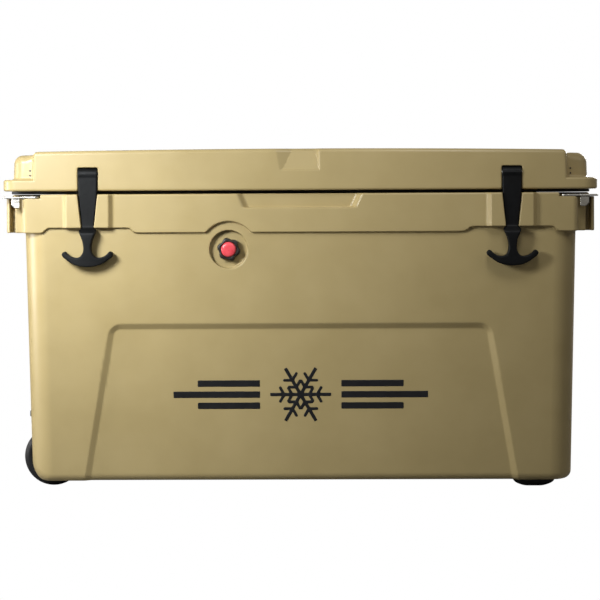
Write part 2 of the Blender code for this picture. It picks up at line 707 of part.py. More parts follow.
def screw(name, at, axis, look):
    """A button-head screw. at is the middle of the face that its head sits on, and axis is the
    way its head points."""
    head, shank = SCREW_HEAD_RADIUS, SCREW_RADIUS
    profile = [(0, -SCREW_LENGTH + GAP), (shank, -SCREW_LENGTH + GAP), (shank, GAP / 2), (head, GAP / 2),
               (head, SCREW_HEAD_HEIGHT * 0.4), (head * 0.7, SCREW_HEAD_HEIGHT),
               (0, SCREW_HEAD_HEIGHT)]
    return turned(name, [(r, h + GAP / 2) for r, h in profile], at, axis, 12, look)


# ---------------------------------------------------------------- hinges

def hinge_screw_places(part):
    """Names and places of the screws of one part's leaves, on the leaves' outer face."""
    face = BAND_HALF_DEPTH + GAP + HINGE_LEAF
    z = HINGE_Z + (-1 if part == "base" else 1) * HINGE_SCREW_Z
    return [(f"hinge_screw_{part}_{word}_{i}", (side * HINGE_X + offset, face, z))
            for word, side in SIDES.items()
            for i, offset in ((1, -HINGE_SCREW_X), (2, HINGE_SCREW_X))]


def hinge_leaf(part, word, side, look):
    """A leaf with its knuckles. The base's leaf has the two outer ones, the lid's the middle."""
    hand = -1 if part == "base" else 1
    centre = side * HINGE_X
    y0 = BAND_HALF_DEPTH + GAP
    third = 2 * HINGE_HALF_LENGTH / 3
    near = HINGE_Z + hand * (KNUCKLE_RADIUS + KNUCKLE_GAP)
    far = HINGE_Z + hand * HINGE_LEAF_HEIGHT
    z0, z1 = sorted((near, far))
    plate = rounded_rectangle(centre - HINGE_HALF_LENGTH, centre + HINGE_HALF_LENGTH, z0, z1, HINGE_CORNER, 3)
    leaf = front_prism(f"hinge_{part}_leaf_{word}", plate, y0, y0 + HINGE_LEAF, None, look)
    spans = ([(-1.5 * third, -0.5 * third - GAP), (0.5 * third + GAP, 1.5 * third)]
             if part == "base" else [(-0.5 * third + GAP, 0.5 * third - GAP)])
    pieces = []
    for i, (x0, x1) in enumerate(spans, 1):
        pieces.append(rod(f"knuckle_{part}_{word}_{i}", (centre + x0, HINGE_Y, HINGE_Z),
                          KNUCKLE_RADIUS, x1 - x0, "x", 16))
        w0, w1 = sorted((HINGE_Z, near + hand * SINK))
        pieces.append(box(f"web_{part}_{word}_{i}", centre + x0, centre + x1,
                          y0 + GAP, y0 + HINGE_LEAF - GAP, w0, w1))
    weld(leaf, *pieces)
    cuts = [rod(f"cut_pin_{part}_{word}", (centre - HINGE_HALF_LENGTH - OVERCUT, HINGE_Y, HINGE_Z),
                HINGE_PIN_RADIUS + PIN_CLEARANCE, 2 * (HINGE_HALF_LENGTH + OVERCUT), "x", 12)]
    for name, (x, y, z) in hinge_screw_places(part):
        if name.endswith((f"{word}_1", f"{word}_2")):
            cuts.append(rod(f"cut_leaf_{name}", (x, y + HINGE_LEAF, z), SCREW_RADIUS + GAP,
                            3 * HINGE_LEAF, "-y", 8))
    return carve(leaf, *cuts)


def hinge_pin(word, side, look):
    half = HINGE_HALF_LENGTH - 3 * GAP
    return rod(f"hinge_pin_{word}", (side * HINGE_X - half, HINGE_Y, HINGE_Z),
               HINGE_PIN_RADIUS, 2 * half, "x", 12, look)


# ---------------------------------------------------------------- lid

def lid_plug_plan(inset=0.0):
    return centred(CAVITY_HALF_LENGTH - PLUG_CLEARANCE - inset,
                   CAVITY_HALF_DEPTH - PLUG_CLEARANCE - inset, CAVITY_CORNER - inset / 2, 4)


def lid_nose_plan(inset):
    """The lid's thicker front part, between the two corner notches."""
    half = FLANGE_HALF_LENGTH - LID_NOSE_INSET - inset
    return rounded_rectangle(-half, half, -LID_HALF_DEPTH + inset,
                             -LID_HALF_DEPTH + LID_NOTCH + 2 * LID_EDGE, NOSE_CORNER, 3)


def lid_block_plan(inset):
    half = FLANGE_HALF_LENGTH - LID_BLOCK_INSET - inset
    return rounded_rectangle(-half, half, -LID_HALF_DEPTH + LID_NOTCH + inset, LID_HALF_DEPTH - inset,
                             BLOCK_CORNER, 4)


def edge_sections(plan, low, top, edge):
    """A plan pulled up to a rounded top edge."""
    rows = [(low, plan(0.0))]
    for degrees in (0, 30, 60, 90):
        a = radians(degrees)
        rows.append((top - edge + edge * sin(a), plan(edge * (1 - cos(a)))))
    return rows


def lid_foam_core(name, gap, look=None):
    """The foam in the lid, or with no gap the hollow that holds it."""
    skin = WALL + gap
    low, top = LID_BOTTOM + skin, LID_TOP - skin
    half = FLANGE_HALF_LENGTH - LID_BLOCK_INSET - skin
    block = rounded_rectangle(-half, half, -LID_HALF_DEPTH + LID_NOTCH + skin,
                              LID_HALF_DEPTH - skin, BLOCK_CORNER - skin / 2, 4)
    core = stack(name, [(low, block), (top - LID_EDGE / 2, block),
                        (top, [(x * 0.985, y * 0.98) for x, y in block])], look)
    nose_half = FLANGE_HALF_LENGTH - LID_NOSE_INSET - skin
    nose = box(name + "_nose", -nose_half, nose_half, -LID_HALF_DEPTH + POCKET_DEPTH + skin,
               -LID_HALF_DEPTH + LID_NOTCH + OVERCUT, low, top - LID_EDGE / 2)
    plug = stack(name + "_plug", [(LID_BOTTOM - PLUG_DEPTH + skin, lid_plug_plan(skin)),
                                  (low + SINK, lid_plug_plan(skin))])
    weld(core, nose, plug)
    cuts = []
    for screw_name, (x, _, z) in hinge_screw_places("lid"):
        cuts.append(rod(f"{name}_clear_{screw_name}", (x, LID_HALF_DEPTH + WALL, z),
                        SCREW_RADIUS + WALL / 2 + gap, SCREW_LENGTH + WALL + gap, "-y", 8))
    return carve(core, *cuts)


def lid_shell(look):
    flange_plan = centred(FLANGE_HALF_LENGTH, LID_HALF_DEPTH, FLANGE_CORNER, 5)
    step = FLANGE_EDGE
    inner_plan = centred(FLANGE_HALF_LENGTH - step, LID_HALF_DEPTH - step, FLANGE_CORNER - step, 5)
    flange_top = LID_BOTTOM + FLANGE_THICKNESS
    shell = stack("lid_shell", [(LID_BOTTOM, inner_plan), (LID_BOTTOM + step, flange_plan),
                                (flange_top - step, flange_plan), (flange_top, inner_plan)], look)
    middle = LID_BOTTOM + FLANGE_THICKNESS / 2
    nose = stack("lid_nose", edge_sections(lid_nose_plan, middle, LID_TOP, LID_EDGE))
    block = stack("lid_block", edge_sections(lid_block_plan, middle, LID_TOP, LID_EDGE))
    plug = stack("lid_plug", [(LID_BOTTOM - PLUG_DEPTH, lid_plug_plan(step)),
                              (LID_BOTTOM - PLUG_DEPTH + step, lid_plug_plan()),
                              (LID_BOTTOM + 2 * SINK, lid_plug_plan())])
    weld(shell, nose, block, plug)
    cutters = [lid_foam_core("cut_lid_foam", 0.0)]
    for word, side in SIDES.items():
        centre = side * LATCH_X
        cutters.append(box(f"cut_pocket_{word}", centre - POCKET_HALF_WIDTH, centre + POCKET_HALF_WIDTH,
                           BAND_FACE - OVERCUT, BAND_FACE + POCKET_DEPTH,
                           LID_BOTTOM - OVERCUT, LID_BOTTOM + POCKET_HEIGHT))
        reach = POCKET_HALF_WIDTH + LATCH_PIN_BEARING + GAP
        cutters.append(rod(f"cut_latch_pin_{word}", (centre - reach, PIN_Y, PIN_Z),
                           LATCH_PIN_RADIUS + GAP, 2 * reach, "x", 12))
        cutters.append(rod(f"cut_lid_lock_{word}", (side * LOCK_X, LOCK_Y, LID_BOTTOM - OVERCUT),
                           LOCK_HOLE_RADIUS, FLANGE_THICKNESS + 2 * OVERCUT, "z", 20))
    over = LID_TOP + SINK
    slope = [(-SCOOP_HALF_WIDTH * 0.4, LID_TOP - LID_EDGE * 0.4 - SCOOP_HEIGHT),
             (SCOOP_HALF_WIDTH, LID_TOP - LID_EDGE * 0.4 - SCOOP_HEIGHT * 0.6),
             (SCOOP_HALF_WIDTH, over), (-SCOOP_HALF_WIDTH, over)]
    near = BAND_FACE - 2 * SINK
    cutters.append(loft("cut_scoop", [[(x, near, z) for x, z in slope],
                                      [(x, BAND_FACE + (SCOOP_DEPTH if z == over else -SINK / 2), z)
                                       for x, z in slope]]))
    for i, side in enumerate(SIDES.values(), 1):
        cutters.append(rod(f"cut_lid_fill_{i}", (side * LID_FILL_X, 0, LID_BOTTOM - PLUG_DEPTH - WALL),
                           FILL_PLUG_RADIUS + GAP, 3 * WALL, "z"))
    for name, at in hinge_screw_places("lid"):
        cutters.append(rod(f"cut_{name}", at, SCREW_RADIUS + GAP, SCREW_LENGTH + GAP, "-y", 8))
    return carve(shell, *cutters)


def lid_seal(look):
    """The rubber seal under the lid, all round the opening."""
    def ring(half_width):
        grow = SEAL_INSET + SEAL_WIDTH / 2 + half_width
        return centred(CAVITY_HALF_LENGTH + grow, CAVITY_HALF_DEPTH + grow, CAVITY_CORNER + grow, 5)

    low, high = RIM_TOP + GAP, LID_BOTTOM - GAP
    bulge = [(SEAL_WIDTH * 0.5, high), (SEAL_WIDTH * 0.25, low), (-SEAL_WIDTH * 0.25, low),
             (-SEAL_WIDTH * 0.5, high)]
    bm = bmesh.new()
    loops = [[bm.verts.new((x, y, z)) for x, y in ring(w)] for w, z in bulge]
    for low_loop, high_loop in zip(loops, loops[1:] + loops[:1]):
        for i in range(len(low_loop)):
            j = (i + 1) % len(low_loop)
            bm.faces.new((low_loop[i], low_loop[j], high_loop[j], high_loop[i]))
    return add_object("lid_seal", bm, look)


def latch_pin(word, side, look):
    half = POCKET_HALF_WIDTH + LATCH_PIN_BEARING
    return rod(f"latch_pin_{word}", (side * LATCH_X - half, PIN_Y, PIN_Z),
               LATCH_PIN_RADIUS, 2 * half, "x", 12, look)


# ---------------------------------------------------------------- latches

def latch_strap(word, side, look):
    """A rubber strap with an eye round its pin, a hooking shoulder and a curved grip."""
    centre = side * LATCH_X
    shoulder_top = KEEPER_UNDERSIDE - SHOULDER_DROP
    widest = shoulder_top - SHOULDER_HEIGHT
    neck = widest - NECK_DROP
    bottom = neck - GRIP_HEIGHT
    half = [(strap_half(RIM_TOP), PIN_Z), (strap_half(RIM_TOP), RIM_TOP + SINK / 2),
            (strap_half(KEEPER_UNDERSIDE), shoulder_top + SINK / 2),
            (SHOULDER_HALF_WIDTH * 0.95, shoulder_top - SINK / 2), (SHOULDER_HALF_WIDTH, widest)]
    # down the stem, along the grip's upper edge to its tip, and back along the lower edge
    half += [(x, widest - drop) for x, drop in ((0.0098, 0.006), (0.0070, 0.014), (0.0060, NECK_DROP))]
    half += [(x, neck - drop) for x, drop in (
        (0.0068, 0.0070), (0.0100, 0.0130), (0.0170, 0.0155), (0.0250, 0.0145), (0.0320, 0.0120),
        (GRIP_TIP_HALF - 0.0015, TIP_DROP), (GRIP_TIP_HALF, TIP_DROP + 0.0030), (0.0330, 0.0185),
        (0.0250, 0.0240), (0.0140, 0.0280))]
    outline = [(centre + x, z) for x, z in half] + [(centre, bottom)]
    outline += [(centre - x, z) for x, z in reversed(half)]
    back = CHANNEL_FLOOR - GAP
    strap = front_prism(f"latch_strap_{word}", outline, back, back - STRAP_THICKNESS, None, look)
    eye = rod(f"eye_{word}", (centre - STRAP_HALF_TOP, PIN_Y, PIN_Z), EYE_RADIUS, 2 * STRAP_HALF_TOP,
              "x", 20)
    grip_top = widest + SHOULDER_HEIGHT - SINK / 2
    heavy = [(x, z) for x, z in half if z < grip_top]
    thick = [(centre + x, z) for x, z in heavy] + [(centre, bottom)]
    thick += [(centre - x, z) for x, z in reversed(heavy)]
    shrunk = [(centre + (x - centre) * 0.96, bottom + 3 * GAP + (z - bottom) * 0.985) for x, z in thick]
    front = BAND_FACE - LATCH_REACH
    grip = front_prism(f"grip_{word}", thick, back - STRAP_THICKNESS / 2, front, shrunk)
    weld(strap, eye, grip)
    bore = rod(f"cut_eye_{word}", (centre - STRAP_HALF_TOP - OVERCUT, PIN_Y, PIN_Z),
               LATCH_PIN_RADIUS + PIN_CLEARANCE, 2 * (STRAP_HALF_TOP + OVERCUT), "x", 12)
    return carve(strap, bore)


# ---------------------------------------------------------------- vent

def vent_pieces(rubber, plastic, red, steel):
    floor = VENT_FLOOR
    gasket = VENT_GASKET
    seat = floor - gasket - 2 * GAP
    at = (VENT_X, seat, VENT_Z)
    height = VENT_KNOB_HEIGHT
    bore = BUTTON_RADIUS + GAP
    inner_end = VENT_NUT_THICKNESS + 2 * SINK - CAVITY_HALF_DEPTH
    depth = seat - inner_end
    rod_bore = VALVE_ROD_RADIUS + GAP
    profile = [(rod_bore, depth), (rod_bore, VENT_BASE), (bore, VENT_BASE), (bore, height),
               (VENT_KNOB_RADIUS - 0.003, height), (VENT_KNOB_RADIUS, height - 0.003),
               (VENT_KNOB_RADIUS, 0.0), (VENT_STEM_RADIUS, 0.0), (VENT_STEM_RADIUS, depth)]
    turned("vent_body", profile, at, "-y", 36, plastic, VENT_LOBES, VENT_LOBE_DEPTH)
    turned("vent_gasket", [(VENT_STEM_RADIUS + GAP, 0), (VENT_STEM_RADIUS + GAP, gasket),
                           (VENT_KNOB_RADIUS - 0.003, gasket), (VENT_KNOB_RADIUS - 0.003, 0)],
           (VENT_X, floor - GAP, VENT_Z), "-y", 20, rubber)
    nut_face = -CAVITY_HALF_DEPTH + CAVITY_DRAFT * 0.25 + GAP
    nut = rod("vent_nut", (VENT_X, nut_face, VENT_Z), VENT_STEM_RADIUS + VENT_NUT_RIM,
              VENT_NUT_THICKNESS, "y", 6, plastic)
    carve(nut, rod("cut_vent_nut", (VENT_X, nut_face - SINK, VENT_Z), VENT_STEM_RADIUS + GAP,
                   VENT_NUT_THICKNESS + 2 * SINK, "y", 24))
    # the button hangs on its rod, and a spring behind it holds it out
    spring_room = 3 * BUTTON_TRAVEL
    back = VENT_BASE + spring_room
    front = height + BUTTON_PROUD
    turned("vent_button", [(0, depth + 0.002), (VALVE_ROD_RADIUS, depth + 0.002), (VALVE_ROD_RADIUS, back),
                           (BUTTON_RADIUS, back), (BUTTON_RADIUS, front - 0.002),
                           (BUTTON_RADIUS - 0.002, front), (0, front + 0.0006)], at, "-y", 24, red)
    turns, sides, around = 3, 6, 10
    wire, coil = 0.0006, VALVE_ROD_RADIUS + 0.0025
    bm = bmesh.new()
    rings = []
    for i in range(turns * around + 1):
        a = 2 * pi * i / around
        height_here = VENT_BASE + GAP + wire + (spring_room - 2 * GAP - 2 * wire) * i / (turns * around)
        centre = Vector((coil * cos(a), coil * sin(a), height_here))
        outward = Vector((cos(a), sin(a), 0))
        rings.append([bm.verts.new(centre + wire * (outward * cos(b) + Vector((0, 0, 1)) * sin(b)))
                      for b in (2 * pi * j / sides for j in range(sides))])
    for low, high in zip(rings, rings[1:]):
        for j in range(sides):
            k = (j + 1) % sides
            bm.faces.new((low[j], low[k], high[k], high[j]))
    bm.faces.new(rings[0])
    bm.faces.new(rings[-1])
    bm.transform(Matrix.Translation(at) @ AXIS_TURNS["-y"])
    add_object("vent_spring", bm, steel)


# ---------------------------------------------------------------- wheels and feet

def wheel(word, end, rubber, plastic):
    inner = WHEEL_RADIUS - TYRE_THICKNESS
    half = WHEEL_WIDTH / 2
    crown = TYRE_CROWN
    at = (WHEEL_X, end * WHEEL_Y - half, WHEEL_RADIUS)
    w = WHEEL_WIDTH
    shoulder, rounding = WHEEL_RADIUS - TYRE_SHOULDER, WHEEL_RADIUS - TYRE_SHOULDER / 6
    turned(f"tyre_{word}", [(inner + GAP, 3 * GAP), (shoulder, 0), (rounding, crown),
                            (WHEEL_RADIUS, 2 * crown), (WHEEL_RADIUS, w - 2 * crown),
                            (rounding, w - crown), (shoulder, w), (inner + GAP, w - 3 * GAP)],
           at, "y", 36, rubber)
    bore = AXLE_RADIUS + AXLE_CLEARANCE
    boss = bore + HUB_BOSS
    lip, web = HUB_BOSS / 2, HUB_WEB / 2
    turned(f"wheel_hub_{word}", [(bore, 0.0), (boss, 0.0), (boss, half - web),
                                 (inner - lip, half - web), (inner - 0.8 * lip, lip), (inner, lip),
                                 (inner, w - lip), (inner - 0.8 * lip, w - lip),
                                 (inner - lip, half + web), (boss, half + web), (boss, w),
                                 (bore, w)], at, "y", 24, plastic)


def axle_and_caps(steel):
    reach = WHEEL_Y + WHEEL_WIDTH / 2 + AXLE_END
    rod("axle", (WHEEL_X, -reach, WHEEL_RADIUS), AXLE_RADIUS, 2 * reach, "y", 16, steel)
    for word, end in ENDS.items():
        start = end * (WHEEL_Y + WHEEL_WIDTH / 2 + GAP)
        turned(f"axle_cap_{word}", [(AXLE_RADIUS + GAP, 0), (AXLE_CAP_RADIUS, 0),
                                    (AXLE_CAP_RADIUS, AXLE_CAP_THICKNESS * 0.6),
                                    (AXLE_CAP_RADIUS * 0.8, AXLE_CAP_THICKNESS),
                                    (AXLE_RADIUS + GAP, AXLE_CAP_THICKNESS)],
               (WHEEL_X, start, WHEEL_RADIUS), "y" if end > 0 else "-y", 16, steel)


def foot(word, end, look):
    y0, y1 = end * FOOT_Y - FOOT_DEPTH / 2, end * FOOT_Y + FOOT_DEPTH / 2
    top = BODY_BOTTOM - GAP

    def plan(half, trim):
        return rounded_rectangle(FOOT_X - half, FOOT_X + half, y0 + trim, y1 - trim, FOOT_CORNER, 3)

    share = FOOT_HALF_LENGTH - FOOT_SOLE_HALF
    made = stack(f"foot_{word}", [(0.0, plan(FOOT_SOLE_HALF, FOOT_DOME)),
                                  (top * 0.35, plan(FOOT_SOLE_HALF + share * 0.45, FOOT_DOME / 2)),
                                  (top * 0.8, plan(FOOT_HALF_LENGTH, 0)), (top, plan(FOOT_HALF_LENGTH, 0))],
                 look)
    sunk = BODY_BOTTOM / 2
    head, shank = SCREW_HEAD_RADIUS + 2 * GAP, SCREW_RADIUS + GAP
    bore = turned(f"cut_foot_{word}", [(0, -OVERCUT), (head, -OVERCUT), (head, sunk), (shank, sunk),
                                       (shank, OVERCUT), (0, OVERCUT)],
                  (FOOT_X, end * FOOT_Y, 0), "z", 12)
    return carve(made, bore)


# ---------------------------------------------------------------- drain

def drain_pieces(plastic, rubber):
    seat = -end_x(DRAIN_Z) + DRAIN_SEAT_DEPTH
    tube = DRAIN_BORE + DRAIN_TUBE_WALL
    gasket = 3 * GAP
    face = seat - GAP - gasket
    reach = WHEEL_X + WHEEL_RADIUS + WHEEL_CLEARANCE + DRAIN_TUBE_PAST_WELL - face
    flange = DRAIN_FLANGE_THICKNESS
    at = (face, DRAIN_Y, DRAIN_Z)
    # heights are from the flange's inner face, into the chest
    turned("drain_bushing", [(DRAIN_BORE, -flange), (DRAIN_FLANGE_RADIUS, -flange),
                             (DRAIN_FLANGE_RADIUS, 0), (tube, 0), (tube, reach), (DRAIN_BORE, reach)],
           at, "x", 24, plastic)
    turned("drain_gasket", [(tube + GAP, GAP), (DRAIN_FLANGE_RADIUS - 4 * GAP, GAP),
                            (DRAIN_FLANGE_RADIUS - 4 * GAP, gasket), (tube + GAP, gasket)],
           at, "x", 24, rubber)
    outer = -flange - GAP
    plug_seal = 0.0015
    stub = DRAIN_BORE - GAP
    cap = turned("drain_plug", [(0, DRAIN_STUB), (stub - SINK / 2, DRAIN_STUB), (stub, DRAIN_STUB - SINK),
                                (stub, outer - plug_seal), (DRAIN_CAP_RADIUS, outer - plug_seal),
                                (DRAIN_CAP_RADIUS, outer - 0.7 * DRAIN_CAP_HEIGHT),
                                (DRAIN_CAP_RADIUS * 0.84, outer - DRAIN_CAP_HEIGHT),
                                (0, outer - DRAIN_CAP_HEIGHT)], at, "x", 24, plastic)
    low = face + outer - DRAIN_CAP_HEIGHT
    lug = box("drain_lug", low - DRAIN_LUG_HEIGHT, low + SINK, DRAIN_Y - DRAIN_LUG_THICKNESS / 2,
              DRAIN_Y + DRAIN_LUG_THICKNESS / 2, DRAIN_Z - DRAIN_LUG_HALF, DRAIN_Z + DRAIN_LUG_HALF)
    weld(cap, lug)
    seal_near, seal_far = outer - GAP / 3, outer + GAP - plug_seal
    turned("drain_plug_seal", [(stub + GAP, seal_near), (DRAIN_CAP_RADIUS - SINK, seal_near),
                               (DRAIN_CAP_RADIUS - SINK, seal_far), (stub + GAP, seal_far)],
           at, "x", 24, rubber)


# ---------------------------------------------------------------- the whole chest

def build():
    clear_scene()
    tan_plastic = material("tan_polyethylene", (0.45, 0.37, 0.21), 0.5)
    foam = material("white_polyurethane_foam", (0.85, 0.80, 0.62), 0.9)
    black_rubber = material("black_rubber", (0.012, 0.013, 0.015), 0.6)
    black_nylon = material("black_nylon", (0.02, 0.018, 0.015), 0.45)
    red_plastic = material("red_plastic", (0.78, 0.05, 0.06), 0.35)
    stainless = material("stainless_steel", (0.62, 0.62, 0.60), 0.28, 1.0)
    zinc_steel = material("zinc_plated_steel", (0.55, 0.55, 0.53), 0.35, 1.0)

    base_shell(tan_plastic)
    insulation_foam(foam)
    for word, side in SIDES.items():
        stack(f"base_fill_plug_{word}",
              [(BODY_BOTTOM + FILL_PLUG_RIM, disc(side * FILL_X, 0, FILL_PLUG_RADIUS)),
               (BODY_BOTTOM + WALL, disc(side * FILL_X, 0, FILL_PLUG_RADIUS))], tan_plastic)
        corner_plate(word, side, stainless)
        for i, (x, y) in enumerate(plate_screws(side), 1):
            screw(f"plate_screw_{word}_{i}", (x, y, PLATE_TOP), "z", stainless)
        hinge_leaf("base", word, side, black_nylon)
        hinge_leaf("lid", word, side, black_nylon)
        hinge_pin(word, side, stainless)
        latch_pin(word, side, stainless)
        latch_strap(word, side, black_rubber)
        plug_low = LID_BOTTOM - PLUG_DEPTH
        stack(f"lid_fill_plug_{word}",
              [(plug_low + FILL_PLUG_RIM, disc(side * LID_FILL_X, 0, FILL_PLUG_RADIUS)),
               (plug_low + WALL, disc(side * LID_FILL_X, 0, FILL_PLUG_RADIUS))], tan_plastic)
    for part in ("base", "lid"):
        for name, at in hinge_screw_places(part):
            screw(name, at, "y", stainless)
    for word, end in ENDS.items():
        wheel(word, end, black_rubber, black_nylon)
        foot(word, end, black_rubber)
        screw(f"foot_screw_{word}", (FOOT_X, end * FOOT_Y, BODY_BOTTOM / 2), "-z", zinc_steel)
    axle_and_caps(zinc_steel)
    vent_pieces(black_rubber, black_nylon, red_plastic, stainless)
    drain_pieces(black_nylon, black_rubber)
    lid_shell(tan_plastic)
    lid_foam_core("lid_foam", GAP, foam)
    lid_seal(black_rubber)


def disc(x, y, radius, steps=16):
    return [(x + radius * cos(2 * pi * i / steps), y + radius * sin(2 * pi * i / steps))
            for i in range(steps)]


build()
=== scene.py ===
from math import pi, radians

import bmesh
import bpy
import numpy as np
from mathutils import Matrix, Vector


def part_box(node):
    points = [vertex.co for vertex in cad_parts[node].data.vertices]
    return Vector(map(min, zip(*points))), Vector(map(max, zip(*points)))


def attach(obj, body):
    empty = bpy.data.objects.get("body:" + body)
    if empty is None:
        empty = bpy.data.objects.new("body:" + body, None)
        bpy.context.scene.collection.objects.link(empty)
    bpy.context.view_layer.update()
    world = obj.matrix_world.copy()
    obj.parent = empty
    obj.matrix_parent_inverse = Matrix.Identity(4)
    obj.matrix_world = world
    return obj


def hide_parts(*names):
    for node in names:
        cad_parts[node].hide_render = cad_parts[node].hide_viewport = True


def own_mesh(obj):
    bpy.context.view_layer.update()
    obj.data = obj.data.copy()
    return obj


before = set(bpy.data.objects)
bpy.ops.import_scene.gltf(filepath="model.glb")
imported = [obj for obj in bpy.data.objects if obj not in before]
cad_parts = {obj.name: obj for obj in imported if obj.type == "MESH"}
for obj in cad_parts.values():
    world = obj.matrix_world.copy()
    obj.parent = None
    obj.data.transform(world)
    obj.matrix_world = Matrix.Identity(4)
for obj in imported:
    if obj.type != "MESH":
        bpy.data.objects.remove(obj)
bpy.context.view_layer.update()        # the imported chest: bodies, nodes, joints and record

mm = 0.001               # shapes are worked out in millimetres and stored in metres


def boxOf(node):
    low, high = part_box(node)
    return np.array(low) / mm, np.array(high) / mm


def centreOf(node):
    low, high = boxOf(node)
    return (low + high) / 2


# Where the pieces stand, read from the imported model
rimHalf, bandHalf, rimTop = boxOf("base_shell")[1]
lidLow, lidHigh = boxOf("lid_shell")
latchX = centreOf("latch_pin_right")[0]
ventAt = centreOf("vent_body")
wheelAt = centreOf("tyre_front")
drainAt = centreOf("drain_plug")
footAt = centreOf("foot_front")


# Colours and material nodes
def colour(text):
    # A linear colour from sRGB hex
    parts = [int(text[i:i + 2], 16) / 255 for i in (1, 3, 5)]
    return [c / 12.92 if c < 0.04045 else ((c + 0.055) / 1.055) ** 2.4 for c in parts] + [1.0]


def perMetre(size):
    # A texture scale whose features are this many millimetres across
    return 1 / (size * mm)


def addNode(tree, kind, settings=None, inputs=None):
    # One node with its settings, and its inputs set or linked
    node = tree.nodes.new(kind)
    for key, value in (settings or {}).items():
        setattr(node, key, value)
    for key, value in (inputs or {}).items():
        socket = node.inputs[key]
        if isinstance(value, bpy.types.NodeSocket):
            tree.links.new(value, socket)
        else:
            socket.default_value = value
    return node


def newMaterial(name, look):
    # Two colours in soft patches, two roughnesses, and bumps one over the other. Sizes and depths
    # are in millimetres.
    made = bpy.data.materials.new(name)
    made.use_nodes = True
    tree = made.node_tree
    shader = tree.nodes["Principled BSDF"]
    for key, value in look["shader"].items():
        shader.inputs[key].default_value = value
    place = addNode(tree, "ShaderNodeTexCoord").outputs["Object"]
    drawn = place
    if "stretch" in look:    # squeezes the pattern across one axis, which leaves brushed lines
        drawn = addNode(tree, "ShaderNodeMapping", None,
                        {"Vector": place, "Scale": look["stretch"]}).outputs[0]
    detail = look.get("detail", 2.0)
    layers = [(place, look["patchSize"], 3.0), (drawn, look["sheenSize"], detail)]
    layers += [(drawn, size, detail) for size, depth, strength in look["bumps"]]
    clouds, sheen, *reliefs = [
        addNode(tree, "ShaderNodeTexNoise", None,
                {"Vector": at, "Scale": perMetre(size), "Detail": fine}).outputs["Fac"]
        for at, size, fine in layers]
    first, second = [colour(text) for text in look["colours"]]
    patches = addNode(tree, "ShaderNodeMapRange", None,
                      {"Value": clouds, "From Min": 0.3, "From Max": 0.7})
    mixed = addNode(tree, "ShaderNodeMix", {"data_type": "RGBA"},
                    {0: patches.outputs[0], 6: first, 7: second})
    smooth, rough = look["roughness"]
    roughness = addNode(tree, "ShaderNodeMapRange", None,
                        {"Value": sheen, "From Min": 0.3, "From Max": 0.7,
                         "To Min": smooth, "To Max": rough})
    tree.links.new(mixed.outputs[2], shader.inputs["Base Color"])
    tree.links.new(roughness.outputs[0], shader.inputs["Roughness"])
    normal = None
    for relief, (size, depth, strength) in zip(reliefs, look["bumps"]):
        given = {"Height": relief, "Distance": depth * mm, "Strength": strength}
        if normal:
            given["Normal"] = normal
        normal = addNode(tree, "ShaderNodeBump", None, given).outputs[0]
    tree.links.new(normal, shader.inputs["Normal"])
    return made


# Rotomoulded linear low-density polyethylene: satin, a little waxy, with the soft orange peel and
# slow waves that an oven-cured wall keeps. Its peel, under 1 mm, is drawn at 7 mm so that it shows.
tanPolyethylene = newMaterial("rotomouldedTanPolyethylene", {
    "colours": ("#b7a373", "#b09c6c"), "patchSize": 70, "sheenSize": 28, "roughness": (0.34, 0.44),
    "bumps": [(45, 0.50, 0.30), (7, 0.06, 0.35), (1.6, 0.02, 0.30)], "shader": {"IOR": 1.51}})
# Compression-moulded EPDM rubber: near black, matt, faintly blooming
latchRubber = newMaterial("mouldedEpdmRubber", {
    "colours": ("#060708", "#0b0c0e"), "patchSize": 18, "sheenSize": 7.2, "roughness": (0.44, 0.60),
    "bumps": [(9, 0.05, 0.30), (0.9, 0.03, 0.40)],
    "shader": {"IOR": 1.33, "Specular IOR Level": 0.35}})
# Solid styrene-butadiene tyre and foot rubber: duller, with dust in its grain
tyreRubber = newMaterial("solidTyreRubber", {
    "colours": ("#0a0a0c", "#141417"), "patchSize": 26, "sheenSize": 10.4,
    "roughness": (0.50, 0.68), "bumps": [(6, 0.10, 0.35), (0.8, 0.05, 0.50)],
    "shader": {"IOR": 1.42}})
# Injection-moulded glass-filled nylon: black with a fine spark-eroded texture
blackNylon = newMaterial("texturedBlackNylon", {
    "colours": ("#151412", "#1f1d19"), "patchSize": 12, "sheenSize": 4.8, "roughness": (0.36, 0.50),
    "bumps": [(1.1, 0.04, 0.45)], "shader": {"IOR": 1.53}})
# Injection-moulded acetal: saturated red with a soft gloss
redAcetal = newMaterial("mouldedRedAcetal", {
    "colours": ("#ee5860", "#e2444e"), "patchSize": 8, "sheenSize": 3.2, "roughness": (0.26, 0.36),
    "bumps": [(3, 0.02, 0.20)],
    "shader": {"IOR": 1.48, "Coat Weight": 0.15, "Coat Roughness": 0.2}})
# Extruded silicone for the lid's seals: grey-black with a velvety surface
sealSilicone = newMaterial("extrudedSilicone", {
    "colours": ("#2b2c2d", "#35363a"), "patchSize": 30, "sheenSize": 12, "roughness": (0.46, 0.60),
    "bumps": [(4, 0.03, 0.30)], "shader": {"IOR": 1.43}})
# Satin vinyl film for the emblem: flat black with a slight roll texture
vinylFilm = newMaterial("satinBlackVinyl", {
    "colours": ("#0e0f12", "#15161a"), "patchSize": 25, "sheenSize": 10, "roughness": (0.34, 0.44),
    "bumps": [(5, 0.02, 0.25)], "shader": {"IOR": 1.49}})
# Brushed 304 stainless steel: warm grey, with lines along the sheet's length. They are finer than
# 0.1 mm on real sheet, and are drawn just under 1 mm so that they show.
stainlessSteel = newMaterial("brushedStainlessSteel", {
    "colours": ("#c9c6c0", "#b5b2ab"), "patchSize": 20, "sheenSize": 12, "roughness": (0.22, 0.40),
    "bumps": [(12, 0.02, 0.25)], "stretch": (1.0, 14.0, 14.0), "detail": 3.0,
    "shader": {"Metallic": 1.0}})
